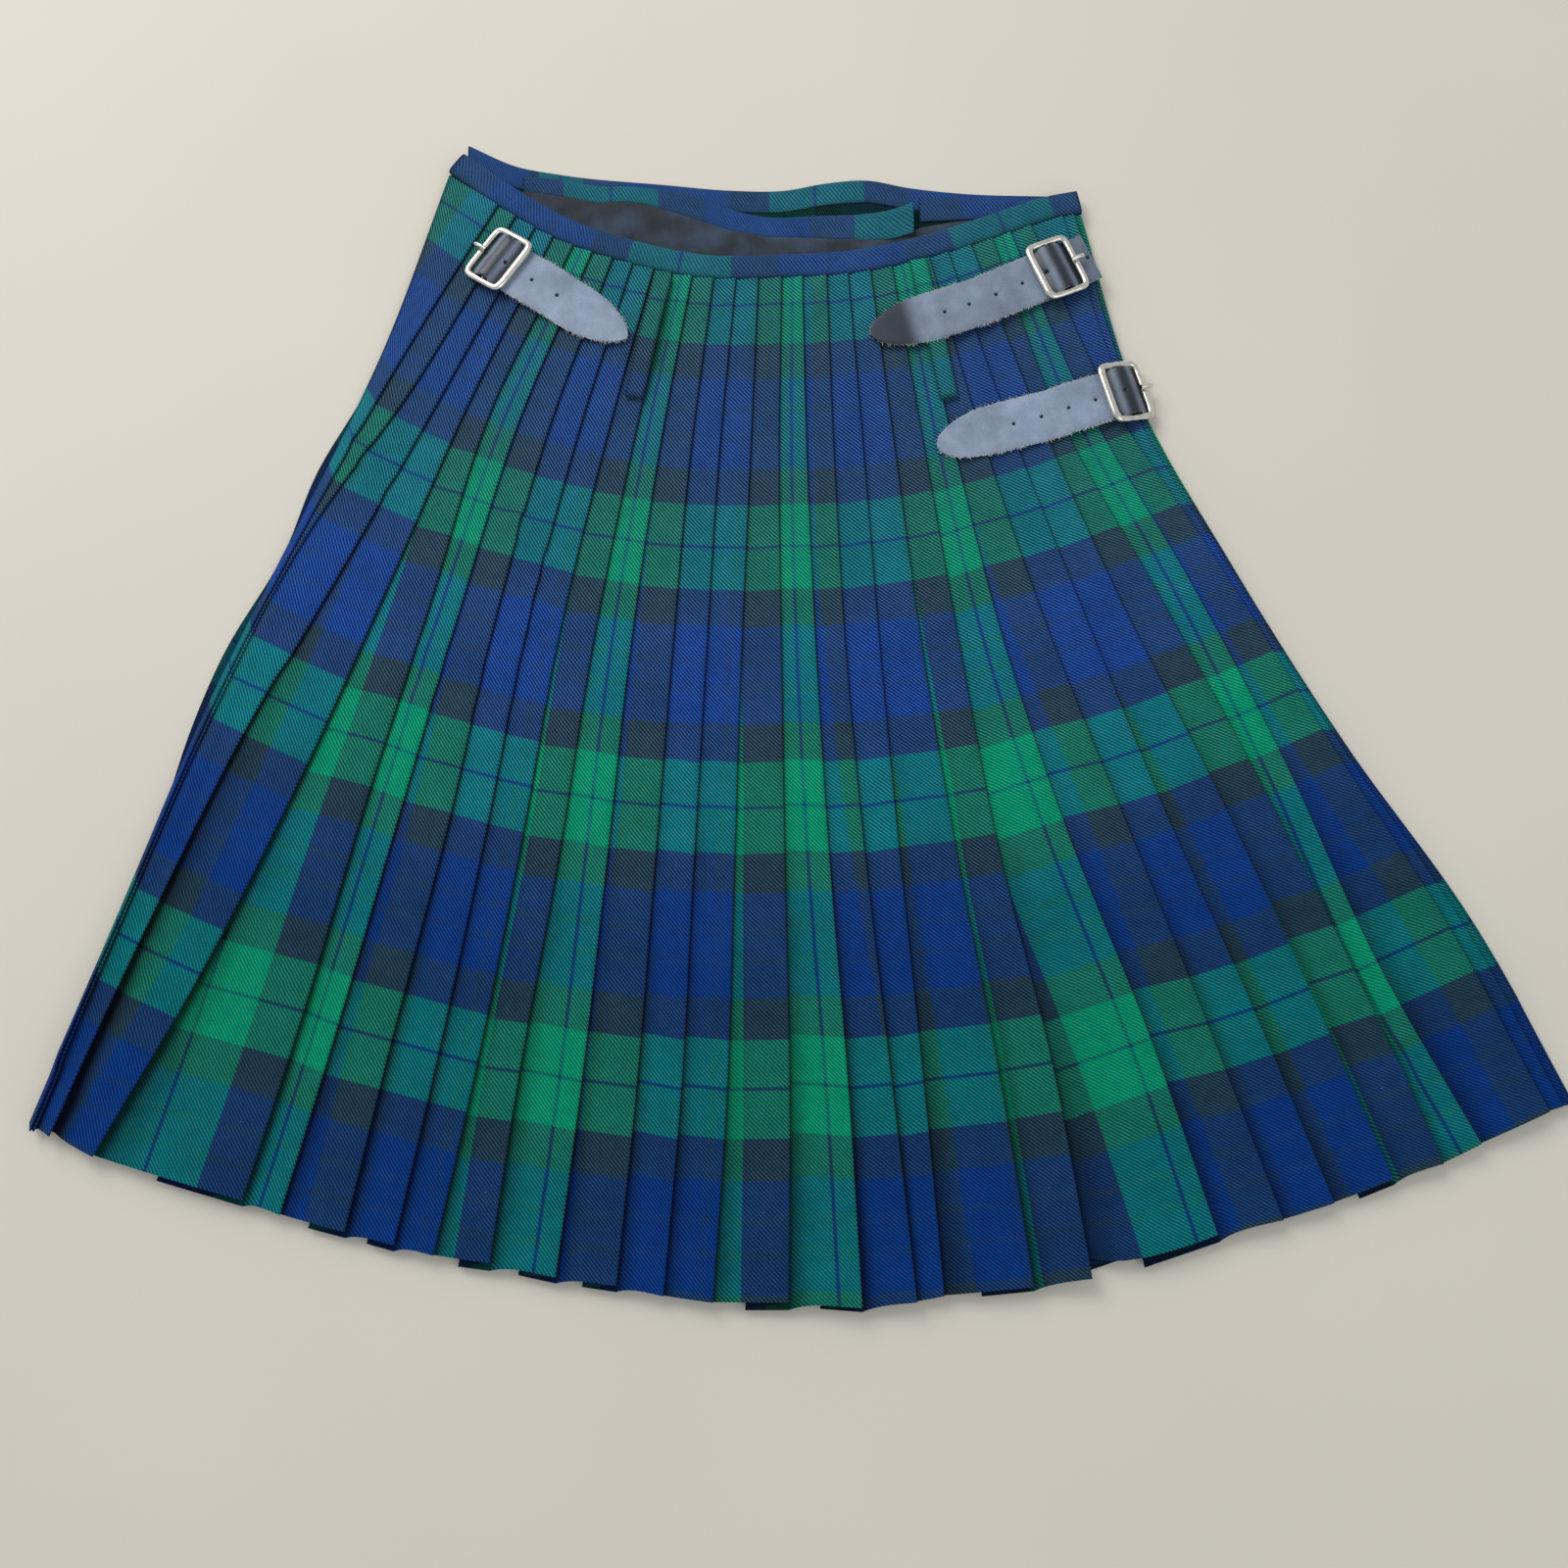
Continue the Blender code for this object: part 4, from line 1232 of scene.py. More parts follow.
@dataclass
class Waistbands:
    """The waistbands: over the pleats, and of the front panels in the waist opening."""

    form: KiltForm
    height: float = 15.5
    thickness: float = 5.0
    crown: float = 0.3
    stations: int = 180
    steps: int = 11
    roundness: int = 6
    blue_row: float = 70.0
    groove_shade: float = 0.75
    groove_share: float = 0.12
    end_shade: float = 0.6
    turnings: float = 1.15
    marks: Mapping[str, tuple[Mark, ...]] = field(default_factory=lambda: {
        "waistband_back": (
            Mark(-205, -165), Mark(-115, -58), Mark(-92.6, -30), Mark(-62.4, 0), Mark(-31.9, 30),
            Mark(162, 220), Mark(181, 240),
        ),
        "waistband_over": (
            Mark(-195, -300), Mark(-156, -248), Mark(-151, -220), Mark(-124, -160), Mark(-33, -56),
            Mark(19, 0), Mark(49, 30), Mark(164, 145),
        ),
        "waistband_under": (
            Mark(-160, -56), Mark(-135, -30), Mark(-106, 0), Mark(-77, 30), Mark(-48, 58), Mark(16, 132),
            Mark(43, 160), Mark(79, 186.5),
        ),
        "waistband_side": (Mark(83, 33), Mark(172, 122)),
    })

    def strip(self, near: Array, far: Array, thickness: float, crown: float) -> tuple[Array, Array]:
        """Upper and lower grid of a band whose long edges are rounded over, as a superellipse.

        Args:
            near: Places along its lower edge.
            far: Places along its top edge.
            thickness: Its thickness.
            crown: How far its middle stands up, on a half wave.

        Returns:
            The two grids.
        """
        share = 0.5 - 0.5 * np.cos(np.linspace(0.0, math.pi, self.steps))
        flat = near[:, None] + (far - near)[:, None] * share[None, :, None]
        half = thickness / 2 * np.sqrt(np.clip(1 - (2 * share - 1) ** self.roundness, 0.0, 1.0))
        height = half + crown * np.sin(math.pi * share)
        return flat + UP * height[None, :, None], flat - UP * half[None, :, None]

    def add(
        self, name: str, near: Array, far: Array, thickness: float, material: bpy.types.Material,
        crown: float = 0.0,
    ) -> None:
        """Args:
            name: The node that it stands for.
            near: Places along its lower edge.
            far: Places along its top edge.
            thickness: Its thickness.
            material: The tartan.
            crown: How far its middle stands up.
        """
        upper, lower = self.strip(near, far, thickness, crown)
        middle = (near + far) / 2
        along = np.interp(middle[:, 0], *zip(*self.marks[name]))
        wide = np.linalg.norm(far - near, axis=1)
        share = np.linspace(0.0, 1.0, self.steps)
        marks = paired(along[:, None], self.blue_row - wide[:, None] * share)
        shade = self.groove_shade * np.tile(ease(share, self.groove_share, 0.0), (len(near), 1))
        shade[[0, -1]] = np.maximum(shade[[0, -1]], self.end_shade)
        paints = {Paint.SHADE: shade, Paint.WORN: np.ones_like(shade)}
        mesh = self.form.grid_wall(name + "_cloth", upper, lower, marks, paints)
        piece = self.form.finish_piece(name + "_cloth", mesh, material, Slot.TARTAN, [name])

    def build(self, material: bpy.types.Material) -> None:
        """Make the four bands, the first along the pleats and the others along their tables.

        Args:
            material: The tartan.
        """
        x = np.linspace(WAIST_LINE[0].x, WAIST_LINE[-1].x, self.stations)
        low = np.column_stack([x, self.form.waist_height(x)])
        run = unit(np.gradient(low, axis=0))
        up = np.column_stack([-run[:, 1], run[:, 0]])
        middle = np.full((len(x), 1), WAIST_LAYER + self.thickness / 2)
        near = np.hstack([low + up * SEAM, middle])
        far = np.hstack([low + up * (SEAM + self.height), middle])
        self.add("waistband_back", near, far, self.thickness, material, self.crown)
        for name, table, thickness in (
            ("waistband_over", OVER_BAND, BAND_CLOTH), ("waistband_under", UNDER_BAND, BAND_CLOTH),
            ("waistband_side", SIDE_BAND, APRON_CLOTH),
        ):
            knots, tops, lows, middles = zip(*table)
            x = np.linspace(knots[0], knots[-1], self.stations)
            middle = smooth(x, knots, middles)
            near = np.column_stack([x, smooth(x, knots, lows), middle])
            far = np.column_stack([x, smooth(x, knots, tops), middle])
            self.add(name, near, far, thickness, material)


@dataclass
class Lining:
    """Dark inner cloth in the waist opening, with soft wrinkles."""

    form: KiltForm
    thickness: float = 1.0
    reach: float = 22.0
    first: float = -160.0
    last: float = 129.0
    stations: int = 150
    steps: int = 26
    beside_band: float = 70.0
    past_band: tuple[Station, ...] = (Station(84, 346), Station(105, 350), Station(128, 352))
    wrinkle: float = 1.9

    def build(self, material: bpy.types.Material) -> None:
        """Args:
            material: The lining's cloth.
        """
        x = np.linspace(self.first, self.last, self.stations)
        edge = [Station(b.x, b.low - SEAM) for b in UNDER_BAND if b.x < self.beside_band]
        top = np.interp(x, *zip(*edge, *self.past_band))
        low = self.form.waist_height(x) - self.reach
        share = np.linspace(0.0, 1.0, self.steps)[None, :]
        y = low[:, None] + (top - low)[:, None] * share
        marks = paired(x[:, None], y)
        wide = marks[..., 0]
        ridge = ripple(wide + y * 0.5, 3, 4, 14.0) * 0.5 + ripple(wide * 0.4 - y, 5, 3, 11.0) * 0.35
        fade = np.sin(math.pi * share) ** 0.5
        height = LINING_LAYER + self.thickness + (ridge + 0.6) * self.wrinkle * fade
        upper = np.dstack([marks, height])
        lower = np.dstack([marks, np.full_like(y, LINING_LAYER)])
        mesh = self.form.grid_wall("lining_cloth", upper, lower, marks)
        piece = self.form.finish_piece("lining_cloth", mesh, material, Slot.LINING, ["lining"])


@dataclass
class BeltLoops:
    """Two long belt loops of the kilt's own cloth."""

    form: KiltForm
    loops: tuple[Loop, ...] = (
        Loop(Hand.LEFT, -72.5, 310.5, -88.5, 231, 2.4), Loop(Hand.RIGHT, 80.5, 320.5, 97.5, 231, 1.6),
    )
    width: float = 11.0
    thickness: float = 1.4
    stations: int = 60
    steps: int = 11
    roundness: int = 8
    edge_shade: float = 0.7
    end_shade: float = 0.6
    end_reach: float = 4.0
    turnings: float = 1.1
    marks_at: Mapping[Hand, float] = field(default_factory=lambda: {Hand.LEFT: 44.0, Hand.RIGHT: 20.0})
    ends: dict[Hand, Array] = field(default_factory=dict)

    def loop(self, loop: Loop, material: bpy.types.Material) -> None:
        """Args:
            loop: Its places.
            material: The tartan.
        """
        share = np.linspace(0.0, 1.0, self.stations)[:, None]
        start = np.array([loop.top_x, loop.top_y])
        run = np.array([loop.low_x, loop.low_y]) - start
        length = float(np.linalg.norm(run))
        side = np.array([-run[1], run[0]]) / length * self.width / 2
        plan = start + share * run
        rest = self.form.top(share * length) + SEAM + self.thickness / 2
        middle = rest + loop.rise * np.sin(math.pi * share) ** 2
        across = np.linspace(-1.0, 1.0, self.steps)
        edge = np.sqrt(np.clip(1 - across**self.roundness, 0, 1)) * self.thickness / 2
        flat = plan[:, None] + side * across[None, :, None]
        upper = np.dstack([flat, middle + edge])
        lower = np.dstack([flat, middle - edge])
        marks = paired(self.marks_at[loop.side] + across * self.width / 2, share * length - FIRST_GREEN)
        name = "belt_loop_" + loop.side.value
        near_edge = self.edge_shade * np.abs(across) ** 6
        near_end = self.end_shade * ease((share - 1) * length, -self.end_reach, 0.0)
        shade = np.maximum(near_edge, near_end)
        low_end = [[*(plan[-1] + side * sign), *middle[-1]] for sign in (1.0, 0.0, -1.0)]
        self.ends[loop.side] = np.array(low_end)
        mesh = self.form.grid_wall(name + "_cloth", upper, lower, marks, {Paint.SHADE: shade})
        piece = self.form.finish_piece(name + "_cloth", mesh, material, Slot.TARTAN, [name])

    def build(self, material: bpy.types.Material) -> None:
        """Make both loops."""
        for loop in self.loops:
            self.loop(loop, material)


@dataclass
class Fastenings:
    """Three buckled straps: frames, prongs, straps and the tabs that hold them."""

    form: KiltForm
    buckles: tuple[Buckle, ...] = (
        Buckle(Side.LEFT, -171.3, 319.5, -34.0, 8.0, 4.0, 93.0, 0.0, 1.15, 0.0),
        Buckle(Side.RIGHT_UPPER, 163.5, 313.5, 203.5, 5.0, 4.65, 119.0, -12.0, 2.1, 2.4),
        Buckle(Side.RIGHT_LOWER, 201.5, 234.5, 196.0, 18.0, 2.7, 117.0, 0.0, 1.15, 0.0),
    )
    courses: Mapping[Side, tuple[Course, ...]] = field(default_factory=lambda: {
        Side.LEFT: (
            Course(-9.4, 1.2), Course(-8, 2.2), Course(-6, 4.0), Course(-4, 5.3), Course(-2, 6.0),
            Course(0, 6.2), Course(2, 6.0), Course(4.5, 5.2), Course(8, 3.6), Course(12, 2.6),
            Course(20, 2.6), Course(38, 2.6), Course(46, 1.15),
        ),
        Side.RIGHT_UPPER: (
            Course(-31.6, -6.2), Course(-31.4, -3.0), Course(-30, -0.4), Course(-27.5, 0.9),
            Course(-24, 1.15), Course(-11, 1.15), Course(-9, 1.7), Course(-6, 4.0), Course(-3, 6.2),
            Course(0, 6.9), Course(3, 6.4), Course(8, 3.8), Course(12, 2.6), Course(20, 2.6),
            Course(38, 2.6), Course(60, 2.9), Course(79, 2.9),
        ),
        Side.RIGHT_LOWER: (
            Course(-11.8, -5.6), Course(-10.2, -3.5), Course(-8.1, -0.8), Course(-6.2, 1.3),
            Course(-4, 3.5), Course(-2, 4.6), Course(0, 5.1), Course(3, 4.9), Course(7.5, 3.6),
            Course(12, 2.6), Course(20, 2.6), Course(38, 2.6), Course(46, 1.15),
        ),
    })
    prong: tuple[Prong, ...] = (
        Prong(-8.6, 0.6, 1.0), Prong(-12.3, 0.0, 1.0), Prong(-14.9, 0.1, 0.95), Prong(-17.0, 0.6, 0.9),
    )
    along: float = 12.3
    across: float = 17.4
    wire: float = 2.0
    wire_flat: float = 0.8
    thick_bar: float = 1.25
    thick_from: float = 0.7
    bar: float = 1.1
    squareness: float = 8.0
    frame_stations: int = 168
    frame_sides: int = 20
    bar_stations: int = 14
    prong_radius: float = 1.45
    prong_tip: float = 0.8
    prong_stations: int = 24
    wire_sides: int = 14
    strap_half: float = 15.5
    strap_half_in_frame: float = 15.4
    strap_columns: int = 17
    strap_stations: int = 60
    tongue_stations: int = 26
    tongue_angles: tuple[float, float] = (3.0, 88.5)
    hole_radius: float = 1.0
    hole_reach: float = 1.6
    hole_stations: int = 11
    hole_depth: float = 1.3
    dent_radius: float = 3.2
    dent_depth: float = 0.3
    holes: Mapping[Side, tuple[float, ...]] = field(default_factory=lambda: {
        Side.LEFT: (5.5, 24.5, 42.5),
        Side.RIGHT_UPPER: (-20.8, 7.0, 23.0, 40.5, 57.8, 73.2),
        Side.RIGHT_LOWER: (1.0, 19.0, 35.8, 52.5, 69.5),
    })
    drifts: Mapping[Side, tuple[Drift, ...]] = field(default_factory=lambda: {
        Side.LEFT: (Drift(-12, 0), Drift(14, 0), Drift(50, 1.0), Drift(80, 1.4), Drift(93, 1.8)),
        Side.RIGHT_UPPER: (
            Drift(-32, 0), Drift(14, 0.4), Drift(34, 1.8), Drift(53, 3.3), Drift(75, 4.0), Drift(95, 4.8),
            Drift(119, 6.0),
        ),
        Side.RIGHT_LOWER: (
            Drift(-12, 0), Drift(14, 0.2), Drift(46, 1.2), Drift(90, 0.8), Drift(117, 2.4),
        ),
    })
    covered_past: float = 12.0
    sheen_bands: tuple[float, ...] = (-5.0, 4.5)
    sheen: float = 0.6
    sheen_half: float = 2.0
    incoming_from: float = -23.0
    incoming_gloss: float = 0.55
    dulled: float = 0.2
    dark_from: float = 86.0
    dark_full: float = 99.0
    dark_gloss: float = 0.95
    bend_glint: float = 0.8
    bend_half: float = 4.0
    bend_before: float = 5.0
    pointed: Mapping[Side, float] = field(default_factory=lambda: {Side.LEFT: 1.25})
    frame_reach: float = 14.0
    tongue: float = 39.0
    leather: float = 1.6
    wobble: float = 0.014
    tab_leather: float = 1.2
    tab_half: float = 14.0
    tab_stations: tuple[float, ...] = (-1.5, 1.5, 5.0, 9.0, 24.0, 37.0)
    edges: dict[Side, Array] = field(default_factory=dict)

    def rest(self, buckle: Buckle) -> float:
        """Height of the fold edges under a buckle's upper side, where they stand highest."""
        drop = float(self.form.waist_height(buckle.x)) - buckle.y - self.strap_half
        return float(self.form.top(np.array(drop)))

    def route(self, buckle: Buckle, along: Array) -> tuple[Array, Array]:
        """Plan of a strap's middle line, which bends evenly towards its tip, and its cross direction.

        Args:
            buckle: The strap's buckle.
            along: Distances from the buckle's centre.

        Returns:
            A place and a unit vector at each distance.
        """
        turn = np.radians(buckle.bend) * np.clip(along, 0, None) / buckle.reach
        heading = np.radians(buckle.heading) + turn
        mean = np.radians(buckle.heading) + turn / 2
        plan = np.column_stack([buckle.x + along * np.cos(mean), buckle.y + along * np.sin(mean)])
        return plan, np.column_stack([-np.sin(heading), np.cos(heading)])

    def gloss(self, buckle: Buckle, along: Array) -> Array:
        """Gloss of a strap, black where the frame covers it but for two bands of sheen across it.

        The long upper strap is half glossy before its frame, a little dulled all along and black again
        at its tip, past a bend that catches the light.

        Args:
            buckle: The strap's buckle.
            along: Distances from the buckle's centre.

        Returns:
            The gloss at each distance.
        """
        worn_off = np.abs(along) - self.covered_past * (along < 0)
        shine = ease(self.frame_reach - 2 - worn_off, 0, 3)
        for band in self.sheen_bands:
            shine = shine * (1 - self.sheen * np.exp(-(((along - band) / self.sheen_half) ** 2)))
        if buckle.side is Side.RIGHT_UPPER:
            shine = np.where(along < -self.frame_reach, self.incoming_gloss, np.maximum(shine, self.dulled))
            shine = np.maximum(shine, self.dark_gloss * ease(along, self.dark_from, self.dark_full))
            bend = (along - self.dark_from + self.bend_before) / self.bend_half
            shine = shine * (1 - self.bend_glint * np.exp(-(bend**2)))
        return shine

    def leather_mesh(
        self, name: str, buckle: Buckle, along: Array, height: Array, half: Array, shift: Array | float,
        thickness: float, holes: Sequence[float] = (),
    ) -> bpy.types.Mesh:
        """Strip of leather with softly rounded long edges, along its buckle's route.

        A punched hole is a steep bell-shaped pit in the upper side, with a shallow dent round it.

        Args:
            name: The mesh's name.
            buckle: Its buckle.
            along: Distances of its rows from the buckle's centre.
            height: Height of its middle over the pleats at each.
            half: Half of its width at each.
            shift: How far it lies off the route.
            thickness: Its thickness.
            holes: Distances of its holes from the buckle's centre.

        Returns:
            The mesh, with gloss, edges and holes painted on its points.
        """
        plan, across = self.route(buckle, along)
        plan = plan + across * np.reshape(shift, (-1, 1))
        fine = np.linspace(-1.0, 1.0, self.hole_stations) * self.hole_reach
        fine = fine * self.hole_radius / self.strap_half
        side = np.unique(np.concatenate([-np.cos(np.linspace(0, math.pi, self.strap_columns)), fine]))
        away = half[:, None] * side
        uneven = 1 + self.wobble * ripple(along[:, None] + 40 * np.sign(side)[None, :], 11, 5, 1.3)
        flat = plan[:, None] + across[:, None] * (away * uneven)[..., None]
        level = (self.rest(buckle) + height)[:, None] + 0 * side
        middle = np.dstack([flat, level])
        edge = (np.sqrt(np.clip(1 - side**10, 0, 1)) * thickness / 2)[None, :, None]
        normal = unit(np.cross(np.gradient(middle, axis=0), np.gradient(middle, axis=1)))
        normal = normal * np.sign(normal[..., 2:].sum() + 1e-9)
        pit = np.zeros(away.shape)
        dent = pit.copy()
        for hole in holes:
            off = np.hypot(along[:, None] - hole, away)
            pit = np.maximum(pit, np.exp(-((off / self.hole_radius) ** 4)))
            dent = np.maximum(dent, np.exp(-((off / self.dent_radius) ** 2)))
        sunk = (pit * self.hole_depth + dent * self.dent_depth)[..., None]
        paints = {
            Paint.GLOSS: self.gloss(buckle, along)[:, None] + 0 * side,
            Paint.EDGE: ease(half[:, None] * (1 - np.abs(side)), 1.2, 0.0),
            Paint.HOLE: np.clip(pit * 1.3, 0, 1),
        }
        upper = middle + normal * (edge - sunk)
        lower = middle - normal * edge
        return self.form.grid_wall(name, upper, lower, paired(along[:, None], away), paints)

    def strap(self, buckle: Buckle, material: bpy.types.Material) -> None:
        """Make a strap: over the centre bar, under the inner bar, then flat to its round tongue.

        Args:
            buckle: Its buckle.
            material: The leather.
        """
        knots, heights = zip(*self.courses[buckle.side])
        ends = buckle.reach - self.tongue
        punched = self.holes[buckle.side]
        start = max(knots[0], self.incoming_from)
        body = [
            np.linspace(start, self.frame_reach, self.strap_stations),
            np.linspace(self.frame_reach, ends, self.strap_stations),
        ]
        fine = np.linspace(-self.hole_reach, self.hole_reach, self.hole_stations) * self.hole_radius
        body += [hole + fine for hole in punched if hole < ends - 3]
        body = np.unique(np.concatenate(body))
        angle = np.radians(np.linspace(*self.tongue_angles, self.tongue_stations))
        along = np.concatenate([body, ends + self.tongue * np.sin(angle)])
        height = smooth(np.minimum(body, knots[-1]), knots, heights)
        height = np.concatenate([height, np.linspace(heights[-1], buckle.tip, len(angle))])
        inside = 1 - ease(np.abs(body), self.frame_reach - 1.5, self.frame_reach + 0.5)
        half = self.strap_half - (self.strap_half - self.strap_half_in_frame) * inside
        half = np.concatenate([half, self.strap_half * np.cos(angle) ** self.pointed.get(buckle.side, 1.0)])
        name = "strap_" + buckle.side.value
        drift = np.interp(along, *zip(*self.drifts[buckle.side]))
        mesh = self.leather_mesh(name + "_leather", buckle, along, height, half, drift, self.leather, punched)
        self.form.finish_piece(name + "_leather", mesh, material, Slot.LEATHER, [name])

        frayed = along > self.frame_reach + 2
        plan, across = self.route(buckle, along)
        edges = [
            np.column_stack([plan + across * (drift + half * sign)[:, None], self.rest(buckle) + height])
            for sign in (1.0, -1.0)
        ]
        self.edges[buckle.side] = np.concatenate([edges[0][frayed], edges[1][frayed][::-1]])

    def tab(self, buckle: Buckle, material: bpy.types.Material) -> None:
        """Make the leather tab that holds the centre bar and is sewn to the pleats.

        Args:
            buckle: Its buckle.
            material: The leather.
        """
        under_bar = buckle.lift - self.bar - SEAM - self.tab_leather / 2
        flat = SEAM + self.tab_leather / 2
        start = max(under_bar, flat)
        along = np.linspace(self.tab_stations[0], self.tab_stations[-1], 30)
        heights = (start, start, (start + flat) / 2, flat, flat, flat)
        height = np.interp(along, self.tab_stations, heights)
        half = np.full(len(along), self.tab_half)
        name = "tab_" + buckle.side.value
        mesh = self.leather_mesh(
            name + "_leather", buckle, along, height, half, buckle.tab_shift, self.tab_leather
        )
        self.form.finish_piece(name + "_leather", mesh, material, Slot.LEATHER, [name])

    def placed(self, buckle: Buckle, points: Array) -> Array:
        """Places of a buckle's own frame as metres of the kilt's frame: leaned along it, then turned.

        Args:
            buckle: The buckle.
            points: Places with x along its strap, from its centre.

        Returns:
            The places in the frame.
        """
        tilt, heading = -math.radians(buckle.tilt), math.radians(buckle.heading)
        lean = np.array([
            [math.cos(tilt), 0, math.sin(tilt)], [0, 1, 0], [-math.sin(tilt), 0, math.cos(tilt)],
        ])
        turn = np.array([
            [math.cos(heading), -math.sin(heading), 0], [math.sin(heading), math.cos(heading), 0], [0, 0, 1],
        ])
        centre = (buckle.x, buckle.y, self.rest(buckle) + buckle.lift)
        return self.form.to_frame(points @ (turn @ lean).T + centre)

    @staticmethod
    def tube(
        path: Array, radii: Array, sides: int, closed: bool, flatten: float = 1.0
    ) -> tuple[Array, Array]:
        """Round wire along a path that nowhere runs straight up.

        Args:
            path: Places along the wire.
            radii: Its radius at each.
            sides: Points round it.
            closed: Whether its ends meet.
            flatten: Height of the section as a share of its width.

        Returns:
            Its points and quads. Open ends stay open rings of the last radius.
        """
        if closed:
            along = unit(np.roll(path, -1, axis=0) - np.roll(path, 1, axis=0))
        else:
            along = unit(np.gradient(path, axis=0))
        side = unit(np.cross(along, UP))
        up = np.cross(side, along) * flatten
        angle = np.linspace(0, 2 * math.pi, sides, endpoint=False)[None, :, None]
        ring = side[:, None] * np.cos(angle) + up[:, None] * np.sin(angle)
        points = (path[:, None] + ring * radii[:, None, None]).reshape(-1, 3)
        count = len(path)
        i, j = np.meshgrid(np.arange(count if closed else count - 1), np.arange(sides), indexing="ij")
        here, after, beside = i * sides, (i + 1) % count * sides, (j + 1) % sides
        quads = np.stack([here + j, here + beside, after + beside, after + j], axis=-1)
        return points, quads.reshape(-1, 4)

    def frame_path(self, count: int) -> tuple[Array, Array]:
        """Rounded oblong path of the frame, a superellipse at even steps, thicker at its strap end.

        Args:
            count: How many places.

        Returns:
            The places and the wire's radius at each.
        """
        angle = np.linspace(0, 2 * math.pi, count, endpoint=False)
        power = 2 / self.squareness
        x = self.along * np.sign(np.cos(angle)) * np.abs(np.cos(angle)) ** power
        y = self.across * np.sign(np.sin(angle)) * np.abs(np.sin(angle)) ** power
        ring = np.column_stack([x, y])
        ring = np.vstack([ring, ring[:1]])
        run = distances(ring)
        at = np.linspace(0, run[-1], count, endpoint=False)
        x, y = np.interp(at, run, ring[:, 0]), np.interp(at, run, ring[:, 1])
        radii = self.wire * (1 + (self.thick_bar - 1) * ease(x / self.along, self.thick_from, 1.0))
        return np.column_stack([x, y, np.zeros(count)]), radii

    def frame(self, buckle: Buckle, material: bpy.types.Material) -> None:
        """Make a buckle's frame with its centre bar.

        Args:
            buckle: The buckle.
            material: The metal.
        """
        name = "buckle_" + buckle.side.value
        ring, radii = self.frame_path(self.frame_stations)
        points, quads = self.tube(ring, radii, self.frame_sides, True, self.wire_flat)
        bar = np.zeros((self.bar_stations, 3))
        bar[:, 1] = np.linspace(-self.across, self.across, self.bar_stations)
        rod, rod_quads = self.tube(bar, np.full(self.bar_stations, self.bar), self.wire_sides, False)
        places = self.placed(buckle, np.concatenate([points, rod]))
        mesh = mesh_of(name, places, np.concatenate([quads, rod_quads + len(points)]))
        self.form.finish_piece(name + "_metal", mesh, material, Slot.METAL, [name])

    def pin(self, buckle: Buckle, material: bpy.types.Material) -> None:
        """Make a buckle's prong, a bent wire over the frame's far bar that narrows to its tip.

        Args:
            buckle: The buckle.
            material: The metal.
        """
        name = "prong_" + buckle.side.value
        seat = self.wire + SEAM + self.prong_radius
        places, drops, shares = zip(*self.prong)
        knots = [-place for place in places]
        at = np.linspace(knots[0], knots[-1], self.prong_stations)
        tip = np.sqrt(np.clip(1 - ease(at, knots[-1] - self.prong_tip, knots[-1]) ** 2, 0.02, 1))
        path = np.column_stack([-at, 0 * at, seat - smooth(at, knots, drops)])
        radii = self.prong_radius * smooth(at, knots, shares) * tip
        points, quads = self.tube(path, radii, self.wire_sides, False)
        mesh = mesh_of(name, self.placed(buckle, points), quads)
        self.form.finish_piece(name + "_metal", mesh, material, Slot.METAL, [name])

    def build(self, leather: bpy.types.Material, metal: bpy.types.Material) -> None:
        """Make all three fastenings.

        Args:
            leather: The finish of straps and tabs.
            metal: The finish of frames and prongs.
        """
        for buckle in self.buckles:
            self.frame(buckle, metal)
            self.pin(buckle, metal)
            self.strap(buckle, leather)
            self.tab(buckle, leather)


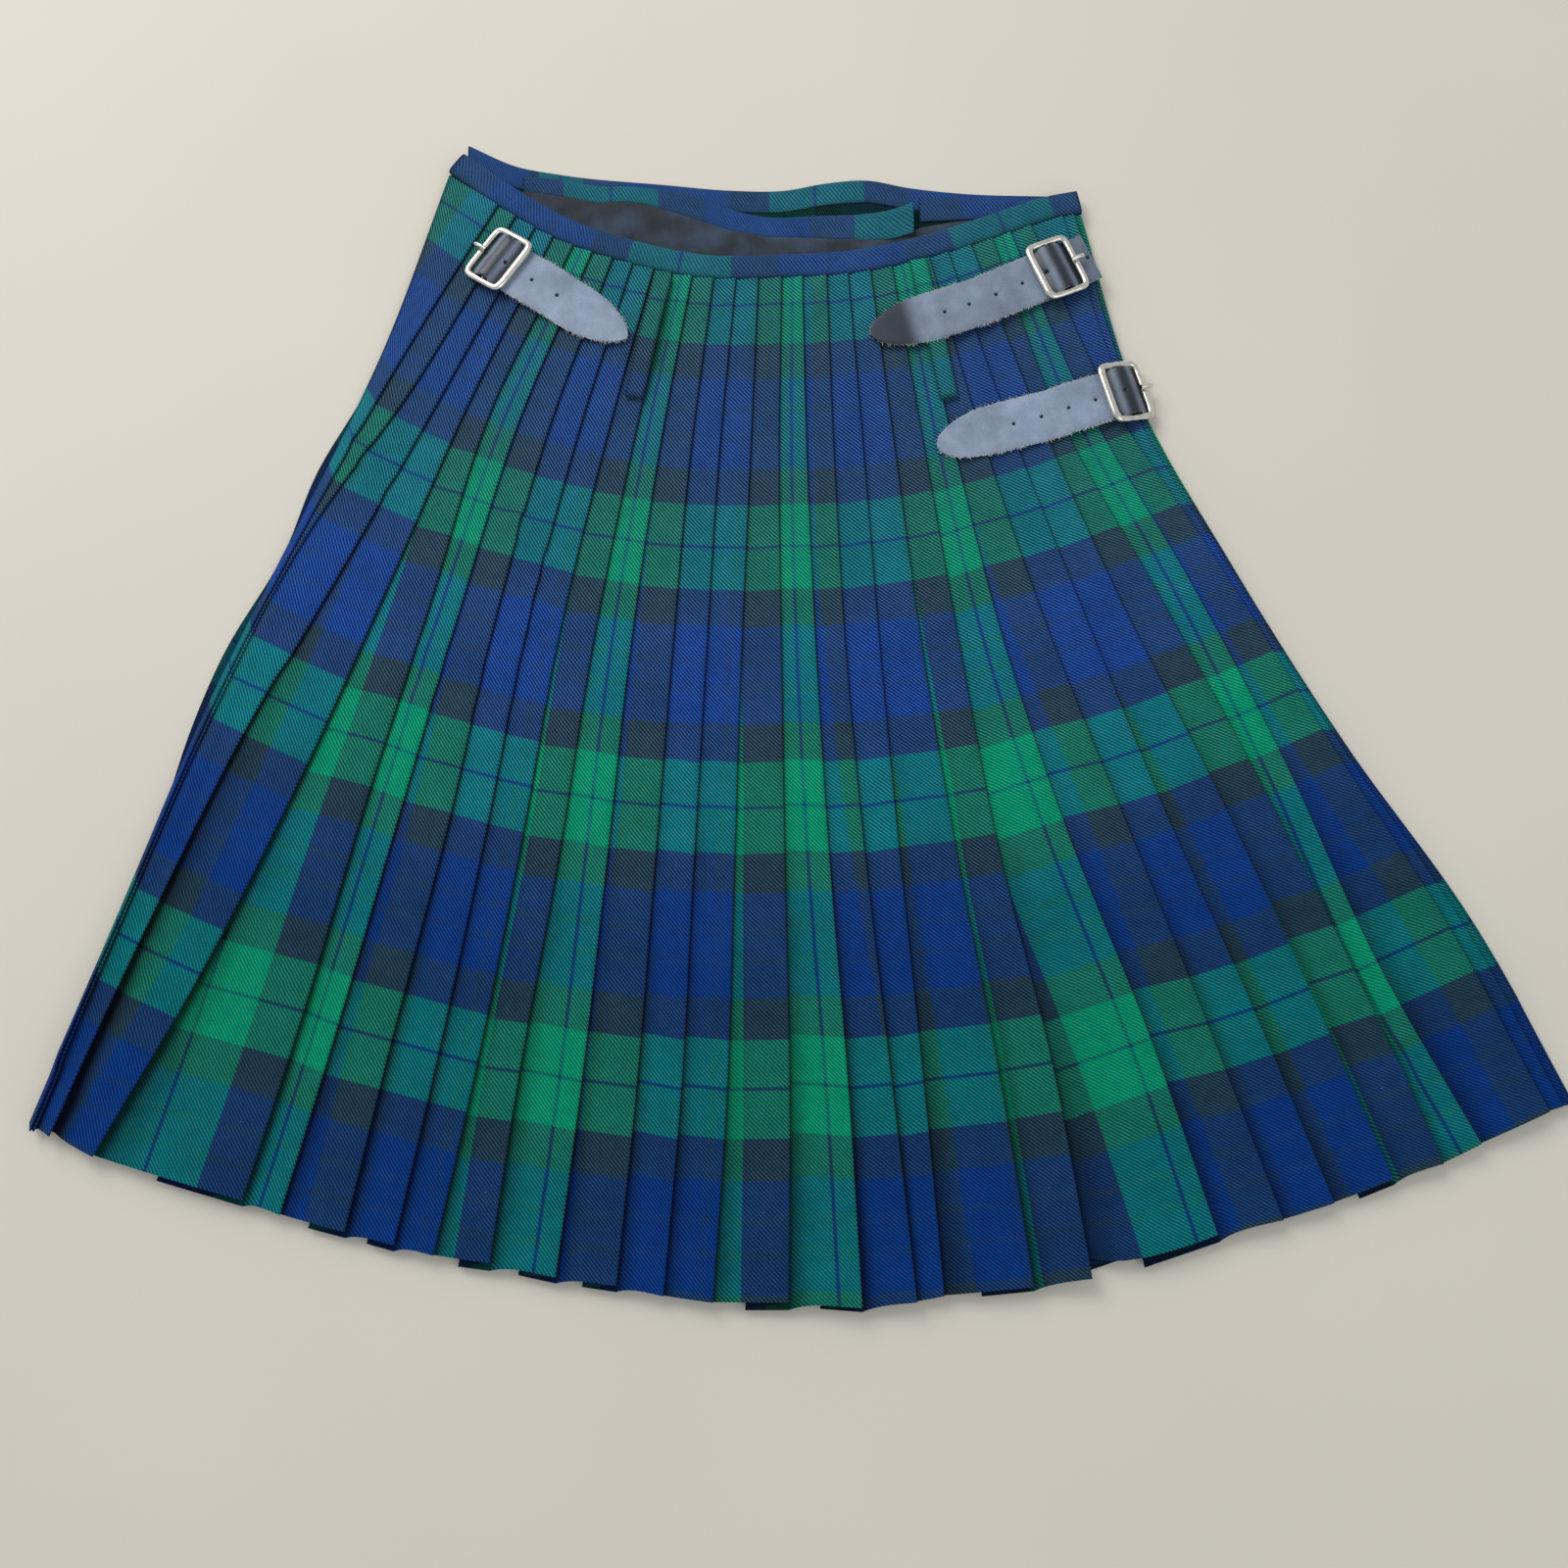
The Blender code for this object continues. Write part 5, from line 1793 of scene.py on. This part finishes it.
@dataclass
class Fibres:
    """Loose fibres along the frayed edges of the straps and at the cut ends of the belt loops."""

    form: KiltForm
    count: int = 280
    loop_count: int = 40
    radius: float = 0.13
    longest: float = 2.4
    shortest: float = 0.9
    bare_wave: float = 9.0
    bare_below: float = -0.3
    stray: float = 0.8
    lift: tuple[float, float] = (-0.2, 0.35)
    curl: float = 0.35
    root: float = 0.5
    taper: float = 0.7

    def fringe(self, name: str, edge: Array, count: int, material: bpy.types.Material, slot: Slot) -> None:
        """Short bent wires that start on an edge and lean to its left, with bare stretches between.

        Args:
            name: The piece that the edge belongs to.
            edge: Places along the edge, with the outside on its left.
            count: How many fibres are tried.
            material: Their finish.
            slot: The record's slot for them.
        """
        draw = np.random.default_rng(sum(map(ord, name)))
        run = distances(edge)
        heading = unit(np.gradient(edge, axis=0))
        at = draw.uniform(0, run[-1], count)
        at = at[ripple(at, count, 4, self.bare_wave) > self.bare_below]
        share = np.linspace(0, 1, 4)[:, None]
        points: list[Array] = []
        quads: list[Array] = []
        for place in at:
            start = np.array([np.interp(place, run, edge[:, axis]) for axis in range(3)])
            ahead = np.array([np.interp(place, run, heading[:, axis]) for axis in range(3)])
            out = np.array([-ahead[1], ahead[0], 0.0])
            lean = out + ahead * draw.normal(0, self.stray) + UP * draw.uniform(*self.lift)
            length = draw.uniform(self.shortest, self.longest)
            bend = draw.normal(0, self.curl, 3) * share**2
            path = start - out * self.root + unit(lean) * length * share + bend
            radii = self.radius * (1 - self.taper * share[:, 0] ** 2)
            ring, faces = Fastenings.tube(path, radii, 3, False)
            quads.append(faces + len(ring) * len(points))
            points.append(ring)
        mesh = mesh_of("fray_" + name, self.form.to_frame(np.concatenate(points)), np.concatenate(quads))
        self.form.finish_piece("fray_" + name, mesh, material, slot, [])

    def build(self, straps: Mapping[Side, Array], loops: Mapping[Hand, Array]) -> None:
        """Make one piece for each strap, and one for the cut end of each belt loop.

        Args:
            straps: Frayed edges of the straps.
            loops: Low ends of the belt loops.
        """
        leather = ThreadFinish("leather fibres", linear(205, 210, 216)).build()
        wool = ThreadFinish("wool fibres", linear(16, 104, 84)).build()
        for side, edge in straps.items():
            self.fringe(side.value, edge, self.count, leather, Slot.LEATHER)
        for side, edge in loops.items():
            self.fringe("loop_" + side.value, edge, self.loop_count, wool, Slot.TARTAN)


@dataclass
class Studio:
    """Pale floor, soft light and the photograph's camera."""

    form: KiltForm
    distance: float = 884.0
    tilt: float = math.atan(0.22)
    sensor: float = 36.0
    floor_half: float = 2.5
    floor_grain: float = 260.0
    lamps: tuple[Lamp, ...] = (
        Lamp("window", (-1.1, 1.3, 1.7), 1.3, 31.0, (1.0, 0.985, 0.95)),
        Lamp("fill", (1.3, -0.9, 1.9), 1.6, 8.0, (0.93, 0.96, 1.0)),
    )
    world_colour: Colour = (0.95, 0.97, 1.0)
    world_strength: float = 0.5

    def camera(self) -> None:
        """Make the camera, as far from the kilt's origin and as tilted as the photograph's."""
        camera = bpy.data.objects.new("camera", bpy.data.cameras.new("camera"))
        camera.data.sensor_width = self.sensor
        camera.data.lens = self.sensor
        camera.data.clip_start = 0.01
        back = np.array([0, -math.sin(self.tilt), math.cos(self.tilt)]) * self.distance * MM
        camera.location = self.form.to_frame(np.zeros(3)) + back
        camera.rotation_euler = (self.tilt, 0, 0)
        bpy.context.scene.collection.objects.link(camera)
        bpy.context.scene.camera = camera

    def floor(self) -> None:
        """Make the pale floor at the frame's zero height."""
        half = self.floor_half
        corners = [(-half, -half, 0), (half, -half, 0), (half, half, 0), (-half, half, 0)]
        mesh = bpy.data.meshes.new("floor")
        mesh.from_pydata(corners, [], [(0, 1, 2, 3)])
        nodes = Nodes("pale floor")
        cloudy = nodes.noise(nodes.place(), self.floor_grain, 2.0)
        nodes.shade(Base_Color=nodes.mix(cloudy, linear(214, 209, 197), linear(222, 217, 205)), Roughness=0.9)
        mesh.materials.append(nodes.material)
        floor = bpy.data.objects.new("floor", mesh)
        bpy.context.scene.collection.objects.link(floor)

    def light(self, lamp: Lamp) -> None:
        """Make one light that looks at the kilt.

        Args:
            lamp: The light.
        """
        data = bpy.data.lights.new(lamp.name, "AREA")
        data.size = lamp.size
        data.energy = lamp.power
        data.color = lamp.colour
        held = bpy.data.objects.new(lamp.name, data)
        held.location = lamp.place
        held.rotation_euler = Vector([-c for c in lamp.place]).to_track_quat("-Z", "Y").to_euler()
        bpy.context.scene.collection.objects.link(held)

    def build(self) -> None:
        """Make the camera, the floor, the lights and the world."""
        self.camera()
        self.floor()
        for lamp in self.lamps:
            self.light(lamp)
        world = bpy.data.worlds.new("studio")
        world.use_nodes = True
        background = world.node_tree.nodes["Background"]
        background.inputs["Color"].default_value = (*self.world_colour, 1.0)
        background.inputs["Strength"].default_value = self.world_strength
        bpy.context.scene.world = world
        bpy.context.scene.view_settings.view_transform = "Standard"


def main() -> None:
    """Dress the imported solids, piece by piece."""
    logging.basicConfig(level=logging.INFO, format="%(message)s")
    form = KiltForm()
    Studio(form).build()
    tartan = TartanFinish().build()
    lining = LiningFinish().build()
    leather = LeatherFinish().build()
    metal = MetalFinish().build()
    Aprons(form).build(tartan)
    Lining(form).build(lining)
    PleatedBack(form).build(tartan)
    Waistbands(form).build(tartan)
    loops = BeltLoops(form)
    loops.build(tartan)
    fastenings = Fastenings(form)
    fastenings.build(leather, metal)
    Fibres(form).build(fastenings.edges, loops.ends)


if __name__ == "__main__":
    main()
